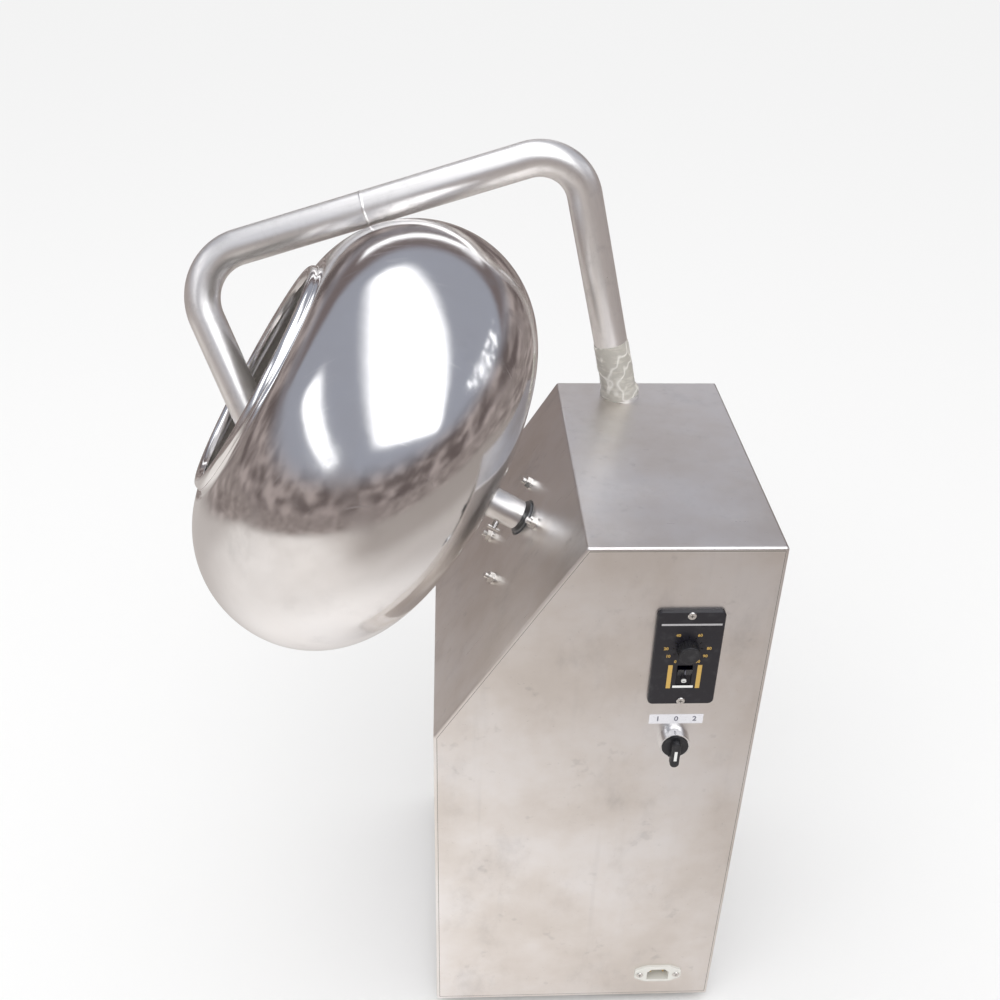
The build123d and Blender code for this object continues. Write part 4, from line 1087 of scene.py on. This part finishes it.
@dataclass
class Selector:
    """Label strip above the hot air selector, and the line on its lever."""

    x: float = CABINET_X + 73.0
    z: float = FOOT_HEIGHT + 386.0
    label_x: float = CABINET_X + 73.3
    label_z: float = FOOT_HEIGHT + 410.0
    right: Array = field(default_factory=lambda: np.array([1.0, 0.0, 0.0]))
    up: Array = field(default_factory=lambda: np.array([0.0, 0.0, 1.0]))

    def build(self) -> None:
        """Make label, its plain numbers and the pointer."""
        place = np.array([[self.label_x, -HALF_DEPTH, self.label_z]])
        mesh = slabs("selector_label", place, np.array([[25.0, 5.6]]), self.right, self.up, 0.18)
        add_piece("selector_label", mesh, Body.CABINET, LABEL_PAPER)
        marks = [("1", -17.0, 0.0), ("0", 0.0, 0.0), ("2", 17.0, 0.0)]
        origin = place[0] + np.array([0.0, -0.2, 0.0])
        mesh = lettering("selector_label_numbers", marks, 5.6, origin, self.right, self.up, 0.04)
        add_piece("selector_label_numbers", mesh, Body.CABINET, GREY_INK)
        low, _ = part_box("selector_knob")
        place = np.array([[self.x, float(low.y) / MM + 0.02, self.z - 6.2]])
        mesh = slabs("selector_pointer", place, np.array([[1.35, 5.8]]), self.right, self.up, 0.12)
        add_piece("selector_pointer", mesh, Body.SELECTOR, WHITE_INK)


@dataclass
class ScrewRecessShade:
    """Painted shade in the cross recesses of the visible screw heads: dark crossed plates, one mesh for each row of
    screws.
    """

    half_long: float = 1.7
    half_wide: float = 0.32

    def crosses(self, name: str, places: Array, right: Array, up: Array) -> None:
        """Two crossed dark plates on each head, painted shade for its recess.

        Args:
            name: the piece's name.
            places: middles of the heads.
            right: one direction across the head.
            up: the other.
        """
        middles = np.repeat(places, 2, 0)
        halves = np.tile([[self.half_long, self.half_wide], [self.half_wide, self.half_long]], (len(places), 1))
        mesh = slabs(name, middles, halves, right, up, 0.04)
        add_piece(name, mesh, Body.CABINET, RECESS_SHADE)

    def build(self) -> None:
        """Paint recess shade on the screws of speed control, inlet and rear cover."""
        right, up = np.array([1.0, 0.0, 0.0]), np.array([0.0, 0.0, 1.0])
        for node in ("control_screws", "inlet_screws"):
            middles = island_middles(node)
            middles[:, 1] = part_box(node)[0].y / MM
            self.crosses(node + "_recess", middles, right, up)
        middles = island_middles("rear_cover_screws")
        middles[:, 1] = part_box("rear_cover_screws")[1].y / MM
        self.crosses("rear_screws_recess", middles, -right, up)


def island_middles(node: str) -> Array:
    """Middles of the separate solids of a node, from the mesh's connected pieces.

    Args:
        node: the node's name.

    Returns:
        n by 3, in millimetres.
    """
    work = bmesh.new()
    work.from_mesh(frame["nodes"][node].data)
    bmesh.ops.remove_doubles(work, verts=work.verts, dist=1e-6)
    left, found = set(work.verts), []
    while left:
        todo, island = [left.pop()], []
        while todo:
            vert = todo.pop()
            island.append(vert.co.copy())
            near = {edge.other_vert(vert) for edge in vert.link_edges} & left
            left -= near
            todo += near
        corners = np.array(island)
        found.append((corners.min(0) + corners.max(0)) / 2)
    work.free()
    return np.array(found) / MM


@dataclass
class BoltThreads:
    """Thread crests on the four bolt ends on the slanted face."""

    pitch: float = 73.5
    offset: float = 18.0
    radius: float = 3.0
    start: float = 6.8
    end: float = 10.4
    lead: float = 1.0

    def build(self) -> None:
        """Lathe each end with a saw profile: radius falls by half the lead between crests."""
        crest = np.arange(self.start, self.end, self.lead / 2)
        radii = np.where(np.arange(len(crest)) % 2 == 0, self.radius + 0.12, self.radius + 0.01)
        profile = np.stack([crest, radii], -1)
        profile = np.concatenate([[[self.start, 0.0]], profile, [[self.end, 0.0]]])
        parts = []
        for number, (a, b) in enumerate([(-1, -1), (-1, 1), (1, -1), (1, 1)], start=1):
            shift = (-self.offset + a * self.pitch / 2) * SLOPE_DIR + b * self.pitch / 2 * ACROSS
            mesh = lathe("bolt_thread", profile, False, 24, SHAFT_POINT + shift, SLANT_NORMAL, SLOPE_DIR)
            parts.append(mesh)
            add_piece(f"bolt_thread_{number}", mesh, Body.CABINET, FINISHES["screw_steel"])


# The studio

@dataclass
class Studio:
    """Camera, floor, lamp and the room that polished metal reflects."""

    eye: Colour = (-16.339, -925.066, 1139.978)
    yaw: float = 0.0520494
    pitch: float = 0.5574594
    roll: float = 0.0246626
    lens: float = 40.703
    floor_radius: float = 9.0
    floor_near: float = 3.4

    def build(self) -> None:
        """Make everything that isn't part of the object."""
        self.build_camera()
        self.build_floor()
        self.build_world()
        self.build_lamp()
        bpy.context.scene.view_settings.view_transform = "Standard"

    def build_camera(self) -> None:
        """Aim by yaw, pitch and roll: forward, right and up make the camera's axes."""
        yaw, pitch, roll = self.yaw, self.pitch, self.roll
        ahead = np.array([math.sin(yaw) * math.cos(pitch), math.cos(yaw) * math.cos(pitch), -math.sin(pitch)])
        level = np.array([math.cos(yaw), -math.sin(yaw), 0.0])
        above = np.cross(level, ahead)
        right = math.cos(roll) * level + math.sin(roll) * above
        up = -math.sin(roll) * level + math.cos(roll) * above
        data = bpy.data.cameras.new("camera")
        data.lens, data.sensor_width = self.lens, 36.0
        data.clip_start, data.clip_end = 0.01, 100.0
        camera = bpy.data.objects.new("camera", data)
        place = Matrix([[*row] for row in np.stack([right, up, -ahead], 1)]).to_4x4()
        place.translation = Vector(self.eye) * MM
        camera.matrix_world = place
        bpy.context.scene.collection.objects.link(camera)
        bpy.context.scene.camera = camera

    def build_floor(self) -> None:
        """A pale disc; polished metal sees its near part beige and its far part dark, with painted light beside the
        cabinet and painted shade towards the right and the back.
        """
        angle = np.linspace(0, 2 * np.pi, 96, endpoint=False)
        radius = np.array([0.0, 600.0, 2000.0, 4000.0, self.floor_radius * 1000])[:, None]
        points = np.stack([radius * np.cos(angle), radius * np.sin(angle), np.zeros((5, 96))], -1)
        mesh = mesh_from("floor", points.reshape(-1, 3), grid_faces(5, 96, False, True))
        if mesh.polygons[0].normal.z < 0:
            mesh.flip_normals()
        floor = bpy.data.objects.new("floor", mesh)
        bpy.context.scene.collection.objects.link(floor)
        material = bpy.data.materials.new("studio_floor")
        material.use_nodes = True
        recipe = Recipe(material.node_tree)
        place = recipe.coordinates()
        parts = recipe.add("ShaderNodeSeparateXYZ", {}, {0: place})
        x, y = Signal(recipe, parts.outputs[0]), Signal(recipe, parts.outputs[1])
        reach = (x * x + y * y)._math("SQRT", x * x + y * y)
        cloud = recipe.noise(place, 2.2, 5.0)
        beige = recipe.mix(cloud.step(0.3, 0.7), (0.80, 0.765, 0.74), (0.74, 0.705, 0.68))
        # Painted light: the floor that polished metal reflects is lighter within about 0.35 m of the cabinet, against
        # the contact shade there.
        beige = recipe.mix(reach.step(0.75, 0.35), beige, (0.96, 0.93, 0.91))
        # Painted reflection shade: the floor that polished metal reflects is darker towards the right and the back, and
        # darker again further out on the right, so the metal shows darker reflections there.
        reflection_shade = (x + reach * 0.6).step(0.0, 1.0).maximum(y.step(-0.1, 0.6)) * 0.66
        beige = recipe.mix(reflection_shade, beige, (0.40, 0.36, 0.34))
        beige = recipe.mix(reach.step(0.8, 1.4) * x.step(-0.5, 0.2) * 0.7, beige, (0.30, 0.265, 0.245))
        clutter = recipe.noise(recipe.mapped(place, (2.4, 2.4, 2.4)), 1.0, 5.0, 0.6)
        gloom = recipe.mix(clutter.step(0.42, 0.62), (0.19, 0.158, 0.148), (0.46, 0.40, 0.38))
        spread = reach + clutter * 0.9 + y.maximum(0.0) * 1.1
        far = recipe.mix(spread.step(self.floor_near - 0.6, self.floor_near + 0.5), beige, gloom)
        kind = recipe.add("ShaderNodeLightPath")
        seen = recipe.add("ShaderNodeBsdfDiffuse", {}, {"Color": (0.96, 0.96, 0.955)})
        shown = recipe.add("ShaderNodeBsdfDiffuse", {}, {"Color": far})
        pick = recipe.add("ShaderNodeMixShader", {}, {0: kind.outputs["Is Glossy Ray"], 1: seen.outputs[0], 2: shown.outputs[0]})
        recipe.add("ShaderNodeOutputMaterial", {}, {"Surface": pick.outputs[0]})
        mesh.materials.append(material)

    def build_world(self) -> None:
        """White to the camera, even light to matt surfaces, and a soft room to polished ones.

        Lights in the room lie on a flat ceiling: their place is X = x / z and Y = y / z of the direction.
        """
        world = bpy.data.worlds.new("room")
        bpy.context.scene.world = world
        world.use_nodes = True
        world.cycles.sampling_method = "NONE"
        recipe = Recipe(world.node_tree)
        direction = recipe.coordinates("Generated")
        parts = recipe.add("ShaderNodeSeparateXYZ", {}, {0: direction})
        x, y, z = (Signal(recipe, output) for output in parts.outputs)
        high = z.maximum(0.04)
        across, away = x / high, y / high
        clutter = recipe.noise(recipe.mapped(direction, (5.0, 5.0, 9.0)), 1.0, 5.0, 0.6)
        mauve = recipe.mix(clutter.step(0.42, 0.62), (0.125, 0.10, 0.097), (0.43, 0.37, 0.355))
        room = recipe.mix((z + clutter * 0.10).step(0.18, 0.42), mauve, (0.335, 0.35, 0.405))
        room = recipe.mix(away.step(1.2, 1.6) * z.step(0.2, 0.35), room, (0.17, 0.138, 0.138))
        room = recipe.mix(z.step(-0.2, -0.5), room, (0.86, 0.80, 0.75))
        left = across + away * 0.166 + 0.18
        strip = left.step(-0.42, 0.12) * (left - (away - 0.95) * -0.62).step(0.32, -0.24)
        strip = strip * away.step(0.98, 0.70) * away.step(-2.1, -1.5)
        side = across.step(-1.85, -1.55) * across.step(-1.05, -1.45) * away.step(0.35, 0.0) * away.step(-2.4, -1.8)
        row = across.step(1.7, 1.9) * across.step(3.9, 3.4) * away.step(1.0, 0.85) * away.step(-0.7, -0.5)
        beat = recipe.noise(recipe.mapped(direction, (9.0, 26.0, 9.0)), 1.0, 2.0).step(0.48, 0.60)
        back = away.step(2.0, 2.15) * away.step(2.7, 2.5) * across.step(-1.1, -0.9) * across.step(1.3, 1.1)
        glow = strip * 1.5 + side * 1.3 + row * beat * 0.9 + back * 0.7
        lit = recipe.mix(glow.clamped(), room, (2.0, 2.03, 2.1))
        kind = recipe.add("ShaderNodeLightPath")
        even = recipe.mix(Signal(recipe, kind.outputs["Is Camera Ray"]), (0.93, 0.93, 0.935), (1.0, 1.0, 1.0))
        colour = recipe.mix(Signal(recipe, kind.outputs["Is Glossy Ray"]), even, lit)
        glow_node = recipe.add("ShaderNodeBackground", {}, {"Color": colour, "Strength": 1.0})
        recipe.add("ShaderNodeOutputWorld", {}, {"Surface": glow_node.outputs[0]})

    def build_lamp(self) -> None:
        """One large soft lamp above and in front, which only matt surfaces show."""
        data = bpy.data.lights.new("soft_lamp", "AREA")
        data.shape, data.size, data.size_y = "RECTANGLE", 2.4, 1.8
        data.energy = 20.0
        lamp = bpy.data.objects.new("soft_lamp", data)
        place = Vector((-0.7, -1.5, 2.8))
        lamp.matrix_world = Matrix.Translation(place) @ (place - Vector((0, 0, 0.4))).to_track_quat("Z", "Y").to_matrix().to_4x4()
        lamp.visible_glossy = False
        bpy.context.scene.collection.objects.link(lamp)


def dress_frame() -> None:
    """Give every node of the frame the finish of its slot."""
    slots = {row["node"]: row["material_slot"] for row in frame["record"]["subparts"]}
    for name, node in frame["nodes"].items():
        material = FINISHES[slots[name]].material()
        node.data.materials.clear()
        node.data.materials.append(material)
    log.info("dressed %d nodes", len(frame["nodes"]))


def main() -> None:
    """Dress the frame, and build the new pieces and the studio."""
    logging.basicConfig(level=logging.INFO, format="%(name)s %(message)s")
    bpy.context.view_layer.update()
    dress_frame()
    for part in (SweetPan(), HotAirPipe(), FrontPanel(), SpeedControl(), Selector(), ScrewRecessShade(), BoltThreads()):
        part.build()
        log.info("built %s", type(part).__name__)
    Studio().build()


if __name__ == "__main__":
    main()
